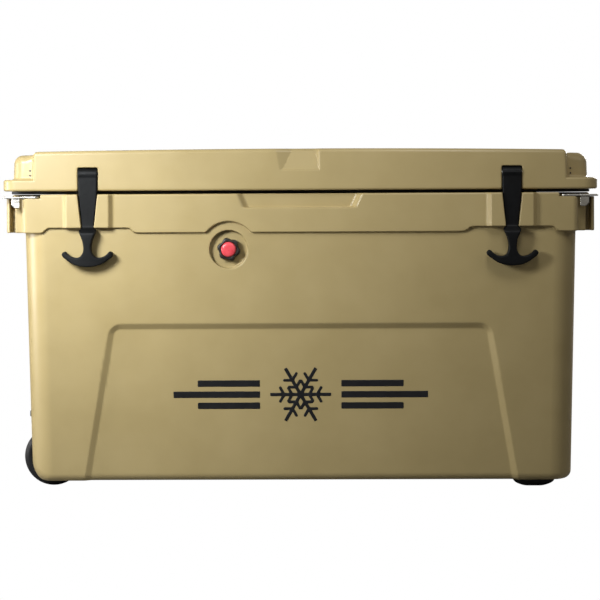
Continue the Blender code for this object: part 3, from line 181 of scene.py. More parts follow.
# Bright zinc plate on steel: cooler and slightly mottled
zincSteel = newMaterial("brightZincPlatedSteel", {
    "colours": ("#b9bcc0", "#a9acae"), "patchSize": 6, "sheenSize": 5, "roughness": (0.30, 0.46),
    "bumps": [(5, 0.03, 0.30)], "detail": 3.0, "shader": {"Metallic": 1.0}})
print("materials made")


def newObject(name, data):
    made = bpy.data.objects.new(name, data)
    bpy.context.scene.collection.objects.link(made)
    return made


def meshObject(name, points, faces, look, body, normals=None, replaced=()):
    # A piece from points in millimetres, which rides on a body and may stand for CAD nodes
    mesh = bpy.data.meshes.new(name)
    mesh.from_pydata((np.asarray(points) * mm).tolist(), [], [tuple(map(int, f)) for f in faces])
    mesh.materials.append(look)
    mesh.shade_smooth()
    if normals is not None:
        mesh.normals_split_custom_set_from_vertices([tuple(n) for n in normals])
    return finishPiece(newObject(name, mesh), body, replaced)


def finishPiece(made, body, replaced=()):
    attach(made, body)
    if replaced:
        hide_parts(*replaced)
    return made


def plainMesh(source, name):
    # The evaluated object as a plain mesh with no modifiers, in a new object
    source.update_tag()
    bpy.context.view_layer.update()
    evaluated = source.evaluated_get(bpy.context.evaluated_depsgraph_get())
    mesh = bpy.data.meshes.new_from_object(evaluated)
    mesh.name = name
    looks = list(source.data.materials)
    bpy.data.objects.remove(source)
    if looks and not mesh.materials:
        mesh.materials.append(looks[0])
    return newObject(name, mesh)


# Moulded shapes as distance fields: below 0 is inside, and every edge gets a true radius
def roundMax(a, b, r):
    # What is inside both, with the edge between them rounded
    return np.minimum(np.maximum(a, b), -r) + np.hypot(np.maximum(a + r, 0), np.maximum(b + r, 0))


def roundMin(a, b, r):
    # What is inside either, with a fillet between them
    return -roundMax(-a, -b, r)


def carve(a, b, r):
    return roundMax(a, -b, r)


def planDistance(x, y, halfX, halfY, r):
    # Distance to a rectangle with round corners, seen from above
    qx, qy = np.abs(x) - halfX + r, np.abs(y) - halfY + r
    return np.minimum(np.maximum(qx, qy), 0) + np.hypot(np.maximum(qx, 0), np.maximum(qy, 0)) - r


def softRamp(t, start, stop, soft):
    # 0 before start, 1 after stop, with rounded turns
    def bend(u):
        return np.sqrt(u * u + soft * soft)
    return 0.5 + (bend(t - start) - bend(t - stop)) / (2 * (stop - start))


def gridLines(start, stop, coarse, features=(), growth=0.4):
    # Places of grid lines: close together in each feature's span and wider away from them
    lines = [start]
    while lines[-1] < stop:
        at, step = lines[-1], coarse
        for low, high, fine in features:
            step = min(step, fine + growth * max(low - at, at - high, 0))
        lines.append(at + step)
    return np.array(lines)


def mirrored(features):
    return features + [(-high, -low, step) for low, high, step in features]


def slopeOf(field, points, reach=0.02):
    # The field's gradient by central differences
    x, y, z = points.T
    return np.stack([(field(x + reach, y, z) - field(x - reach, y, z)),
                     (field(x, y + reach, z) - field(x, y - reach, z)),
                     (field(x, y, z + reach) - field(x, y, z - reach))], 1) / (2 * reach)


def settle(field, points, rounds=4, longest=1.5):
    # Moves points onto the field's surface, and gives its normals there
    for turn in range(rounds):
        slope = slopeOf(field, points)
        size = np.maximum((slope ** 2).sum(1), 0.05)
        move = slope * (field(*points.T) / size)[:, None]
        length = np.maximum(np.linalg.norm(move, axis=1), 1e-9)
        points = points - move * np.minimum(1, longest / length)[:, None]
    slope = slopeOf(field, points)
    return points, slope / np.maximum(np.linalg.norm(slope, axis=1), 1e-9)[:, None]


def skin(field, gx, gy, gz, bendGrid=None):
    # The closed surface where the field is 0, one point in each grid cell that it crosses
    x, y, z = np.meshgrid(gx, gy, gz, indexing="ij")
    if bendGrid:
        x, y = bendGrid(x, y, z)
    d = field(x, y, z)
    d = np.where(np.abs(d) < 1e-5, 1e-5, d)
    inside = d < 0
    cells = tuple(n - 1 for n in d.shape)
    offsets = [(i, j, k) for i in (0, 1) for j in (0, 1) for k in (0, 1)]
    count = sum(inside[i:i + cells[0], j:j + cells[1], k:k + cells[2]].astype(np.int8)
                for i, j, k in offsets)
    mixed = (count > 0) & (count < 8)
    index = -np.ones(cells, np.int64)
    index[mixed] = np.arange(mixed.sum())
    cell = np.stack(np.nonzero(mixed), 1)
    place = np.stack([x, y, z], -1)
    total, hits = np.zeros((len(cell), 3)), np.zeros(len(cell))
    for a in offsets:
        for axis in range(3):
            if a[axis]:
                continue
            b = list(a)
            b[axis] = 1
            ia, ib = tuple((cell + a).T), tuple((cell + b).T)
            da, db = d[ia], d[ib]
            crossed = (da < 0) != (db < 0)
            share = np.where(crossed, da / np.where(crossed, da - db, 1), 0)[:, None]
            total += np.where(crossed[:, None], place[ia] + share * (place[ib] - place[ia]), 0)
            hits += crossed
    points = total / hits[:, None]
    faces = []
    for axis in range(3):
        second, third = (axis + 1) % 3, (axis + 2) % 3
        lower = np.moveaxis(inside, axis, 0)[:-1]
        upper = np.moveaxis(inside, axis, 0)[1:]
        at = np.stack(np.nonzero(lower != upper), 1)
        order = [axis] + [i for i in range(3) if i != axis]
        edge = np.empty_like(at)
        edge[:, order] = at
        edge = edge[(edge[:, second] > 0) & (edge[:, third] > 0)
                    & (edge[:, second] < cells[second]) & (edge[:, third] < cells[third])]
        corners = []
        for back, side in ((1, 1), (0, 1), (0, 0), (1, 0)):
            c = edge.copy()
            c[:, second] -= back
            c[:, third] -= side
            corners.append(index[tuple(c.T)])
        quads = np.stack(corners, 1)
        outward = inside[tuple(edge.T)]
        faces.append(np.where(outward[:, None], quads, quads[:, ::-1]))
    return points, np.concatenate(faces)


def thinOut(points, faces, most):
    # Fewer triangles where the surface is flat, by Blender's Decimate
    mesh = bpy.data.meshes.new("dense")
    mesh.from_pydata((points * mm).tolist(), [], faces.tolist())
    dense = newObject("dense", mesh)
    fewer = dense.modifiers.new("fewer", "DECIMATE")
    fewer.ratio = min(1, most / (2 * len(faces)))
    fewer.use_collapse_triangulate = True
    sparse = plainMesh(dense, "sparse")
    data = sparse.data
    out = np.empty(len(data.vertices) * 3)
    data.vertices.foreach_get("co", out)
    triangles = np.array([tuple(p.vertices) for p in data.polygons])
    bpy.data.objects.remove(sparse)
    bpy.data.meshes.remove(data)
    return out.reshape(-1, 3) / mm, triangles


def moulded(name, field, grid, look, body, replaced=(), bendGrid=None, most=60000):
    # A piece whose surface is the field's, in a grid of X, Y and Z lines
    points, faces = skin(field, *grid, bendGrid)
    points = settle(field, points, 2)[0]
    if 2 * len(faces) > most:
        points, faces = thinOut(points, faces, most)
    points, normals = settle(field, points, 3, 0.4)
    meshObject(name, points, faces, look, body, normals, replaced)
    print(name, len(points), "points", len(faces), "faces")


# Base: one rotomoulded body with its rim, wheel wells, pockets and the space inside
bodySizes = {
    "halfLength": 421.5, "halfDepth": 234.0, "bottom": 11.0, "draftX": 7.5, "draftY": 8.0,
    "corner": 36.0, "bottomEdge": 12.0, "wheelEndEdge": 38.0,
    "rimLow": 391.0, "bandCorner": 9.0, "endHalfDepth": 218.0, "endCorner": 7.0, "rimEdge": 2.8,
    "rimLowEdge": 1.6, "notchFillet": 5.0, "underRimFillet": 1.6,
    "lift": 7.5, "liftHalf": 62.0, "liftRun": 7.5,
    "ribProud": 8.0, "ribHalf": 38.0, "ribChamfer": 6.2, "ribEdge": 1.0, "ribFillet": 1.6,
    "channelDepth": 4.0, "channelTop": 15.2, "channelLow": 9.6,
    "ventPocket": 29.0, "ventDepth": 8.5, "ventArch": 42.5, "ventZ": 365.0, "ventBore": 8.8,
    "ventArchDepth": 9.0, "ventBoreEnd": -176.0,
    "fingerTop": 95.6, "fingerLow": 86.0, "fingerHeight": 21.5, "fingerDepth": 9.0,
    "fingerSlope": 1.0, "gripBack": 400.6, "gripBar": 433.6, "gripTop": 431.0, "gripHalf": 65.0,
    "gripSlopeFrom": 363.0, "gripSlope": 0.909, "gripRound": 9.0,
    "grooveInner": 435.0, "grooveOuter": 443.0, "grooveBack": 196.0,
    "plateInner": 393.5, "plateBack": 153.5, "plateFloor": 443.2,
    "wellReach": 53.0, "wellTop": 98.0, "wellHalf": 23.0, "wellCorner": 30.0,
    "drainSeat": 21.8, "drainSeatDepth": 4.0, "drainBore": 13.8, "drainBoreEnd": -296.0,
    "fillX": 150.0, "fillHole": 12.3, "fillTop": 16.2,
}
panelSizes = {"depth": 6.2, "top": 252.0, "halfTop": 290.0, "halfLow": 331.0, "low": 11.0,
              "slope": 8.5, "corner": 17.0, "soft": 0.8}
cavitySizes = {"halfX": 373.0, "halfY": 186.0, "draft": 8.0, "corner": 30.0, "floor": 90.0,
               "floorFillet": 14.0, "mouth": 4.5, "slopeFrom": -300.0, "slopeRise": 0.452,
               "slopeFillet": 20.0}
ventX, drainY, drainZ = ventAt[0], drainAt[1], drainAt[2]
wheelX, wheelY, wheelZ = wheelAt[0], abs(wheelAt[1]), wheelAt[2]


def downShare(z):
    b = bodySizes
    return np.clip((b["rimLow"] - z) / (b["rimLow"] - b["bottom"]), 0, 1)


def panelDepth(x, z):
    # How deep the pressed front panel is at a place on the front
    p = panelSizes
    lean = (p["halfLow"] - p["halfTop"]) / (p["top"] - p["low"])
    side = (np.abs(x) - (p["halfTop"] + lean * (p["top"] - z))) / np.hypot(1, lean)
    inward = -roundMax(side, z - p["top"], p["corner"])
    return p["depth"] * softRamp(inward, 0, p["slope"], p["soft"])


def strapHalf(z):
    b = bodySizes
    share = np.clip((rimTop - z) / (rimTop - b["rimLow"] - b["lift"]), 0, 1)
    return b["channelTop"] + (b["channelLow"] - b["channelTop"]) * share


def bodyField(x, y, z):
    b, c = bodySizes, cavitySizes
    down = downShare(z)
    front = np.where(y < -100, y - panelDepth(x, z), y)
    plan = planDistance(x, front, b["halfLength"] - b["draftX"] * down,
                        b["halfDepth"] - b["draftY"] * down, b["corner"])
    toWheelEnd = np.clip((-x - b["halfLength"] + b["corner"]) / b["corner"], 0, 1)
    edge = b["bottomEdge"] + (b["wheelEndEdge"] - b["bottomEdge"]) * toWheelEnd ** 1.5
    body = np.maximum(roundMax(plan, b["bottom"] - z, edge), z - b["rimLow"] - 20)    # ends in the rim

    # rim: front and back bands, the ends between them, and the ribs beside each strap
    rim = roundMin(planDistance(x, y, b["halfLength"], bandHalf, b["bandCorner"]),
                   planDistance(x, y, rimHalf, b["endHalfDepth"], b["endCorner"]), b["notchFillet"])
    away = np.abs(np.abs(x) - latchX)
    proud = -bandHalf - y
    ribs = roundMax(away - b["ribHalf"] + b["ribChamfer"] * proud / b["ribProud"],
                    proud - b["ribProud"], b["ribEdge"])
    rim = roundMin(rim, np.maximum(ribs, y + 200), b["ribFillet"])
    lift = b["lift"] * (1 - softRamp(away, b["liftHalf"], b["liftHalf"] + b["liftRun"], 1.2)) * (y < 0)
    rim = roundMax(roundMax(rim, z - rimTop, b["rimEdge"]), b["rimLow"] + lift - z, b["rimLowEdge"])
    channel = roundMax(away - strapHalf(z), y + bandHalf - b["channelDepth"], 1.2)
    rim = carve(rim, channel, 1.4)
    fromVent = np.hypot(x - ventX, z - b["ventZ"])
    rim = carve(rim, np.maximum(fromVent - b["ventArch"], y + b["halfDepth"] - b["ventArchDepth"]), 2.2)
    fingerSide = (np.abs(x) - b["fingerTop"] + b["fingerSlope"] * (y + bandHalf)
                  + (b["fingerTop"] - b["fingerLow"]) * (rimTop - z) / b["fingerHeight"]) * 0.7
    finger = roundMax(roundMax(fingerSide, rimTop - b["fingerHeight"] - z, 2.5),
                      y + bandHalf - b["fingerDepth"], 1.5)
    rim = carve(rim, finger, 1.6)
    solid = roundMin(body, rim, b["underRimFillet"])

    # pocket for the vent and its bore
    pocket = roundMax(fromVent - b["ventPocket"], y + b["halfDepth"] - b["ventDepth"], 2.5)
    solid = carve(solid, pocket, 1.2)
    solid = carve(solid, np.maximum(fromVent - b["ventBore"], y - b["ventBoreEnd"]), 0.8)

    # hand grips, the grooves in the notches and the seats of the corner plates
    ax = np.abs(x)
    low = b["gripSlopeFrom"] - b["gripSlope"] * (ax - b["gripBack"])     # falls outwards
    grip = roundMax(b["gripBack"] - ax, z - b["gripTop"], b["gripRound"])
    grip = roundMax(grip, (low - z) * 0.74, b["gripRound"])     # a height made a true distance
    grip = roundMax(roundMax(grip, ax - b["gripBar"], 5), np.abs(y) - b["gripHalf"], b["gripRound"])
    solid = carve(solid, grip, 3.2)
    groove = np.maximum(np.maximum(ax - b["grooveOuter"], b["grooveInner"] - ax),
                        np.maximum(y + b["grooveBack"], -b["endHalfDepth"] - 9 - y))
    solid = carve(solid, groove, 1.8)
    seat = np.maximum(np.maximum(b["plateInner"] - ax, y + b["plateBack"]), b["plateFloor"] - z)
    solid = carve(solid, seat, 0.9)

    # the space inside, whose floor rises over the wheels
    share = (rimTop - z) / (rimTop - c["floor"])
    hollow = planDistance(x, y, c["halfX"] - c["draft"] * share, c["halfY"] - c["draft"] * share,
                          c["corner"])
    ramp = (c["floor"] + c["slopeRise"] * (c["slopeFrom"] - x) - z) * 0.911   # a true distance too
    floor = roundMax(c["floor"] - z, ramp, c["slopeFillet"])
    solid = carve(solid, roundMax(hollow, floor, c["floorFillet"]), c["mouth"])

    # wheel wells, the drain's seat and bore, and the holes that the foam was poured through
    well = roundMax(x - wheelX - b["wellReach"], z - b["wellTop"], b["wellCorner"])
    well = roundMax(well, np.abs(np.abs(y) - wheelY) - b["wellHalf"], 4)
    solid = carve(solid, well, 2.6)
    fromDrain = np.hypot(y - drainY, z - drainZ)
    seatX = -(b["halfLength"] - b["draftX"] * downShare(drainZ)) + b["drainSeatDepth"]
    solid = carve(solid, np.maximum(fromDrain - b["drainSeat"], x - seatX), 1.2)
    solid = carve(solid, np.maximum(fromDrain - b["drainBore"], x - b["drainBoreEnd"]), 0.8)
    fromFill = np.hypot(ax - b["fillX"], y)
    return carve(solid, np.maximum(fromFill - b["fillHole"], z - b["fillTop"]), 0.8)


def bendBase(x, y, z):
    # Grid lines lean with the body's draft, so that each wall stays between the same two
    down, b = downShare(z), bodySizes
    return (x * (1 - b["draftX"] / b["halfLength"] * down),
            y * (1 - b["draftY"] / b["halfDepth"] * down))


baseGrid = (
    gridLines(-456, 456, 18, mirrored([(432, 451, 1.5), (396, 424, 2.8), (282, 360, 1.7)])
              + [(-154, -64, 1.9), (80, 99, 1.6), (-99, -80, 1.6), (-396, -380, 3.0)]),
    gridLines(-254, 246, 18, [(-250, -226, 1.35), (-220, -210, 1.8), (-199, -178, 2.8),
                              (-157, -149, 2.5), (-114, -66, 3.6), (58, 70, 3.5), (148, 154, 3.5),
                              (178, 200, 2.8), (214, 222, 2.4), (230, 243, 1.8)]),
    gridLines(4, 455, 18, [(9, 26, 1.9), (26, 56, 3.4), (76, 126, 3.2), (238, 262, 1.8),
                           (335, 384, 2.3), (384, 409, 1.5), (425, 433, 1.4), (440, 452, 1.2)]))
moulded("base_body", bodyField, baseGrid, tanPolyethylene, "base",
        ("base_shell", "base_foam"), bendBase, 196000)


# Lid: nose between the latches' ends, lower block behind, flange all round, plug below
lidSizes = {
    "bottom": 454.5, "flangeTop": 472.0, "flangeCorner": 22.0, "flangeEdge": 3.4,
    "crown": 4.0, "blockDrop": 4.2, "blockHalf": 440.0, "blockFront": 212.0, "blockCorner": 17.0,
    "noseHalf": 405.0, "noseBack": 190.0, "noseCorner": 4.5, "edge": 5.8, "endEdge": 7.0,
    "notchFillet": 7.0, "flangeFillet": 4.0, "fillX": 100.0, "fillHole": 12.3, "fillFrom": 440.0,
    "draft": 0.035, "plugX": 367.0, "plugY": 180.0, "plugCorner": 28.0, "plugEdge": 5.0,
    "pocketHalf": 15.4, "pocketTop": 490.0, "pocketBack": 222.0,
    "scoopLeft": 29.5, "scoopLean": 6.5, "scoopRight": 30.5, "scoopFoot": 485.0, "scoopDepth": 9.0,
    "scoopLeftRun": 26.0, "scoopRightRun": 7.0, "scoopFootDepth": 1.2,
    "lockX": 436.5, "lockY": 227.5, "lockHole": 5.0,
}
lidTop, lidHalf = lidHigh[2], lidHigh[0]


def scoopDepth(x, z):
    # the thumb scoop: deep at the top, with a long slope on its left and a steep one on its right
    s = lidSizes
    up = (z - s["scoopFoot"]) / (lidTop - s["scoopFoot"])
    foot = s["scoopFootDepth"]
    rise = np.minimum((z - s["scoopFoot"]) * 1.2, foot + (s["scoopDepth"] - foot) * up)
    left = (x + s["scoopLeft"] + s["scoopLean"] * up) / s["scoopLeftRun"] * s["scoopDepth"]
    right = (s["scoopRight"] - x) / s["scoopRightRun"] * s["scoopDepth"]
    inward = np.minimum(np.minimum(rise, left), right)
    return 0.5 * (inward + np.sqrt(inward ** 2 + 0.25)) * (np.abs(x) < 60)


def lidField(x, y, z):
    s = lidSizes
    ax = np.abs(x)
    past = s["noseHalf"]        # beyond the nose the block stands lower, with a softer edge
    drop = s["blockDrop"] * softRamp(ax, past - 3, past + 5, 1.5)
    top = lidTop - s["crown"] * (x / lidHalf) ** 2 - drop
    up = np.maximum(z - s["flangeTop"], 0)
    front = np.where(y < -180, y - scoopDepth(x, z), y)
    nose = planDistance(x, front + s["noseBack"], s["noseHalf"] - s["draft"] * up,
                        bandHalf - s["noseBack"], s["noseCorner"])
    middle = (bandHalf - s["blockFront"]) / 2
    block = planDistance(x, y - middle, s["blockHalf"] - s["draft"] * up,
                         bandHalf - middle - s["draft"] * up, s["blockCorner"])
    edge = s["edge"] + s["endEdge"] * softRamp(ax, past - 1, past + 13, 3)
    upper = roundMax(roundMin(nose, block, s["notchFillet"]), z - top, edge)
    upper = np.maximum(upper, 459 - z)
    flange = planDistance(x, y, lidHalf, bandHalf, s["flangeCorner"])
    flange = roundMax(roundMax(flange, z - s["flangeTop"], s["flangeEdge"]), s["bottom"] - z,
                      s["flangeEdge"])
    fillet = s["flangeFillet"] * softRamp(ax, past - 1, past + 6, 1)
    fillet = fillet * (1 - softRamp(y, 190, 215, 2))        # none at the back
    solid = roundMin(upper, flange, np.maximum(fillet, 0))
    plug = planDistance(x, y, s["plugX"], s["plugY"], s["plugCorner"])
    plug = np.maximum(roundMax(plug, lidLow[2] - z, s["plugEdge"]), z - 461)
    solid = roundMin(solid, plug, 2.5)
    pocket = roundMax(roundMax(np.abs(ax - latchX) - s["pocketHalf"], z - s["pocketTop"], 2.5),
                      y + s["pocketBack"], 2.0)
    solid = carve(solid, pocket, 1.5)
    solid = carve(solid, np.hypot(ax - s["lockX"], y + s["lockY"]) - s["lockHole"], 1.2)
    fromFill = np.hypot(ax - s["fillX"], y)
    return carve(solid, np.maximum(fromFill - s["fillHole"], z - s["fillFrom"]), 0.8)


lidGrid = (
    gridLines(-458, 458, 16, mirrored([(426, 455, 2.0), (398, 414, 1.8), (301, 341, 1.6)])
              + [(-36, 38, 1.5), (-120, -84, 3.5), (84, 120, 3.5)]),
    gridLines(-246, 246, 16, [(-243, -219, 1.3), (-216, -196, 2.2), (-183, -150, 4), (-16, 16, 4),
                              (150, 183, 4), (214, 243, 2.2)]),
    gridLines(430, 522, 6, [(432, 442, 1.6), (452, 460, 1.2), (468, 478, 1.3), (484, 493, 1.4),
                            (503, 520, 1.3)]))
moulded("lid_top", lidField, lidGrid, tanPolyethylene, "lid",
        ("lid_shell", "lid_foam"), None, 150000)


# A second, outer ring of seal, which closes the gap towards the ends
outerSeal = {"halfX": 440.0, "halfY": 203.0, "corner": 16.0, "halfWidth": 4.5,
             "low": 450.1, "top": 454.3}


def outerSealField(x, y, z):
    o = outerSeal
    ring = np.abs(planDistance(x, y, o["halfX"], o["halfY"], o["corner"])) - o["halfWidth"]
    return roundMax(ring, np.maximum(o["low"] - z, z - o["top"]), 1.2)


sealGrid = (gridLines(-448, 448, 20, mirrored([(418, 448, 1.7)])),
            gridLines(-211, 211, 20, mirrored([(180, 211, 1.7)])),
            gridLines(448.6, 456, 0.8))
moulded("lid_outer_seal", outerSealField, sealGrid, sealSilicone, "lid",
        most=30000)


# Latches: one moulded rubber strap each, with an eye, a hooking shoulder and a curved grip
latchSizes = {
    "pinY": centreOf("latch_pin_left")[1], "pinZ": centreOf("latch_pin_left")[2],
    "eyeRadius": 8.4, "eyeHalf": 14.6, "pinHole": 3.2, "back": -236.3, "strapFront": -242.9,
    "gripFront": -253.4, "gripBack": -238.6, "gripFrom": 399.0, "gripHalf": 38.0, "edge": 2.2,
    "outline": [(14.5, 486), (14.6, 450), (12.3, 426), (9.6, 402), (9.9, 398), (12.6, 396.2),
                (13.3, 392.5), (10.4, 387), (7.6, 380), (5.9, 371), (6.0, 364), (8.4, 358),
                (12.0, 354.4), (17.5, 353.6), (24.0, 355.2), (29.5, 358.8), (33.8, 364.0),
                (39.2, 360.6), (38.6, 355.4), (30.5, 349.4), (22.0, 343.6), (11.0, 340.0),
                (0.0, 339.2)],      # half of the front view, from the eye down to the grip
}


def roundedLine(points, rounds=2):
    # Corner cutting that keeps the line's two ends
    line = np.array(points, float)
    for turn in range(rounds):
        cut = np.empty((2 * len(line) - 2, 2))
        cut[0::2] = line[:-1] * 0.75 + line[1:] * 0.25
        cut[1::2] = line[:-1] * 0.25 + line[1:] * 0.75
        line = np.vstack([line[:1], cut, line[-1:]])
    return line


def outlineDistance(line, x, z):
    # Signed distance in X and Z to a closed outline
    best = np.full(x.shape, 1e9)
    sign = np.ones(x.shape)
    for (ax, az), (bx, bz) in zip(line, np.roll(line, -1, 0)):
        ex, ez, wx, wz = bx - ax, bz - az, x - ax, z - az
        t = np.clip((wx * ex + wz * ez) / (ex * ex + ez * ez), 0, 1)
        best = np.minimum(best, (wx - ex * t) ** 2 + (wz - ez * t) ** 2)
        above, below, side = z >= az, z < bz, ex * wz > ez * wx
        flip = (above & below & side) | (~above & ~below & ~side)
        sign = np.where(flip, -sign, sign)
    return sign * np.sqrt(best)


halfOutline = roundedLine(latchSizes["outline"])
strapOutline = np.vstack([halfOutline, (halfOutline * [-1, 1])[::-1][1:]])


def latchField(x, y, z):
    s = latchSizes
    shape = outlineDistance(strapOutline, x, z)
    grip = softRamp(s["gripFrom"] - z, 0, 8, 1.5)
    out = np.minimum((np.abs(x) / s["gripHalf"]) ** 2, 1)
    front = s["strapFront"] + (s["gripFront"] - s["strapFront"] + 3.0 * out) * grip
    back = s["back"] + (s["gripBack"] - s["back"]) * grip
    strap = roundMax(shape, np.maximum(front - y, y - back), s["edge"])
    strap = np.maximum(strap, z - s["pinZ"] + 1)
    fromPin = np.hypot(y - s["pinY"], z - s["pinZ"])
    eye = roundMax(fromPin - s["eyeRadius"], np.abs(x) - s["eyeHalf"], 1.2)
    strap = roundMin(strap, eye, 1.8)
    return carve(strap, fromPin - s["pinHole"], 0.5)


latchGrid = (gridLines(-42, 42, 1.0), gridLines(-258, -224, 1.0), gridLines(334, 492, 1.1))
latchPoints, latchFaces = skin(latchField, *latchGrid)
latchPoints, latchNormals = settle(latchField, latchPoints, 4)
for word, side in (("left", -1), ("right", 1)):
    meshObject(f"latch_{word}_rubber", latchPoints + [side * latchX, 0, 0], latchFaces, latchRubber,
               f"latch_{word}", latchNormals, (f"latch_strap_{word}",))
print("latches made")


# Emblem: a plain snow crystal between two groups of bars, in vinyl on the pressed panel
emblemSizes = {"centreZ": 143.0, "crystal": 44.0, "arm": 2.6, "branch": 0.85,
               "branches": ((13.0, 11.0), (25.0, 12.0)),    # foot and length of each
               "barHalf": 66.0, "barFrom": 62.0, "barHeight": 5.0, "barPitch": 17.0,
               "outerBar": 0.72, "thickness": 0.45}


def emblemShape(x, z):
    e = emblemSizes
    z = z - e["centreZ"]
    angle, r = np.arctan2(z, x), np.hypot(x, z)
    turn = (angle + pi / 6) % (pi / 3) - pi / 6
    u, v = r * np.cos(turn), np.abs(r * np.sin(turn))
    shape = np.maximum(np.abs(v), np.maximum(u - e["crystal"], -u)) - e["arm"]
    for foot, length in e["branches"]:      # at 60 degrees to the arm
        t = np.clip((u - foot) * 0.5 + v * 0.866, 0, length)
        branch = np.hypot(u - foot - 0.5 * t, v - 0.866 * t) - e["arm"] * e["branch"]
        shape = np.minimum(shape, branch)
    for row in (-1, 0, 1):
        reach = e["barHalf"] * (1.0 if row == 0 else e["outerBar"])
        along = np.abs(np.abs(x) - e["barFrom"] - reach) - reach
        bar = np.maximum(along, np.abs(z - row * e["barPitch"]) - e["barHeight"])
        shape = np.minimum(shape, bar)
    return shape


def emblemField(x, y, z):
    b, e = bodySizes, emblemSizes
    face = -(b["halfDepth"] - b["draftY"] * downShare(z)) + panelSizes["depth"]
    return roundMax(emblemShape(x, z), np.abs(y - face) - e["thickness"], 0.25)


def bendEmblem(x, y, z):
    return x, y + bodySizes["draftY"] * downShare(z)


emblemGrid = (gridLines(-200, 200, 1.3), gridLines(-229.4, -226.4, 0.35), gridLines(92, 194, 1.3))
moulded("front_emblem", emblemField, emblemGrid, vinylFilm, "base",
        bendGrid=bendEmblem)


# Corner plates of stainless steel, each with a bent bottle-opener tongue and a padlock hole
plateSizes = {"low": 443.5, "thickness": 3.0, "innerX": 395.0, "outerX": 451.6, "front": 239.5,
              "back": 155.0, "corner": 6.0, "edge": 0.7, "tongueInner": 424.2, "tongueOuter": 437.4,
              "tongueLow": 428.6}


def plateField(x, y, z):
    p = plateSizes
    midX, halfX = (p["innerX"] + p["outerX"]) / 2, (p["outerX"] - p["innerX"]) / 2
    midY, halfY = -(p["front"] + p["back"]) / 2, (p["front"] - p["back"]) / 2
    sheet = planDistance(x - midX, y - midY, halfX, halfY, p["corner"])
    half = p["thickness"] / 2
    sheet = roundMax(sheet, np.abs(z - p["low"] - half) - half, p["edge"])
    wide = (p["tongueOuter"] - p["tongueInner"]) / 2
    tongue = np.abs(x - (p["tongueInner"] + p["tongueOuter"]) / 2) - wide
    taper = (x - p["tongueOuter"] + 4.5) * 0.72 - (z - p["tongueLow"]) * 0.72
    tongue = roundMax(roundMax(tongue, taper, 1.5), p["tongueLow"] - z, 1.5)
    tongue = roundMax(tongue, np.abs(y + p["front"] - half - 0.2) - half, p["edge"])
    tongue = np.maximum(tongue, z - p["low"] - half)
    fromLock = np.hypot(x - lidSizes["lockX"], y + lidSizes["lockY"])
    return carve(roundMin(sheet, tongue, 1.2), fromLock - lidSizes["lockHole"], 0.6)


plateGrid = (gridLines(392, 455, 3, [(420, 453, 1.0), (394, 400, 1.0)]),
             gridLines(-243, -151, 3, [(-241, -218, 0.8), (-162, -153, 1.2)]),
             gridLines(426, 449, 1.2, [(442, 448, 0.55), (427, 434, 0.9)]))
platePoints, plateFaces = skin(plateField, *plateGrid)
platePoints, plateNormals = settle(plateField, platePoints, 4, 0.5)
for word, side in (("left", -1), ("right", 1)):
    flip = np.array([side, 1, 1])
    meshObject(f"plate_{word}_steel", platePoints * flip, plateFaces[:, ::side], stainlessSteel,
               "base", plateNormals * flip, (f"corner_plate_{word}",))
print("corner plates made")


# Turned parts
def filleted(points, radius, steps=4):
    # A closed outline whose corners are rounded, none by more than its sides allow
    line, n = [], len(points)
    for i in range(n):
        a, b, c = (Vector(points[j % n]) for j in (i - 1, i, i + 1))
        u, v = a - b, c - b
        if u.length < 1e-6 or v.length < 1e-6:
            continue
        reach = min(radius, u.length * 0.45, v.length * 0.45)
        start, stop = b + u.normalized() * reach, b + v.normalized() * reach
        for k in range(steps + 1):
            t = k / steps
            line.append(tuple(start * (1 - t) ** 2 + b * 2 * t * (1 - t) + stop * t * t))
    return line


def lathe(profile, centre, axis, steps=64):
    # Points and faces of a closed (radius, height) outline turned round an axis through centre.
    # Points on the axis share one place, and tidyMesh merges them.
    profile = np.array(profile)
    radius, height = np.maximum(profile[:, 0], 0), profile[:, 1]
    angle = np.arange(steps) * 2 * pi / steps
    along = {"x": (0, 1, 2), "y": (1, 2, 0), "z": (2, 0, 1)}[axis]
    points = np.zeros((len(profile), steps, 3))
    points[..., along[0]] = height[:, None]
    points[..., along[1]] = radius[:, None] * np.cos(angle)
    points[..., along[2]] = radius[:, None] * np.sin(angle)
    index = np.arange(len(profile) * steps).reshape(len(profile), steps)
    low, high = index, np.roll(index, -1, 0)
    faces = np.stack([low, np.roll(low, -1, 1), np.roll(high, -1, 1), high], -1).reshape(-1, 4)
    return points.reshape(-1, 3) + centre, faces


def turnedPiece(name, profile, centre, axis, look, body, replaced, steps=64):
    # A turned piece with doubles merged and its normals facing out
    points, faces = lathe(profile, centre, axis, steps)
    mesh = bpy.data.meshes.new(name)
    mesh.from_pydata((points * mm).tolist(), [], faces.tolist())
    tidyMesh(mesh)
    mesh.materials.append(look)
    mesh.shade_smooth()
    mesh.set_sharp_from_angle(angle=radians(50))
    return finishPiece(newObject(name, mesh), body, replaced)


def tidyMesh(mesh, near=0.002 * mm):
    bm = bmesh.new()
    bm.from_mesh(mesh)
    bmesh.ops.remove_doubles(bm, verts=bm.verts, dist=near)
    bmesh.ops.dissolve_degenerate(bm, edges=bm.edges, dist=near)
    bmesh.ops.recalc_face_normals(bm, faces=bm.faces)
    bm.to_mesh(mesh)
    bm.free()


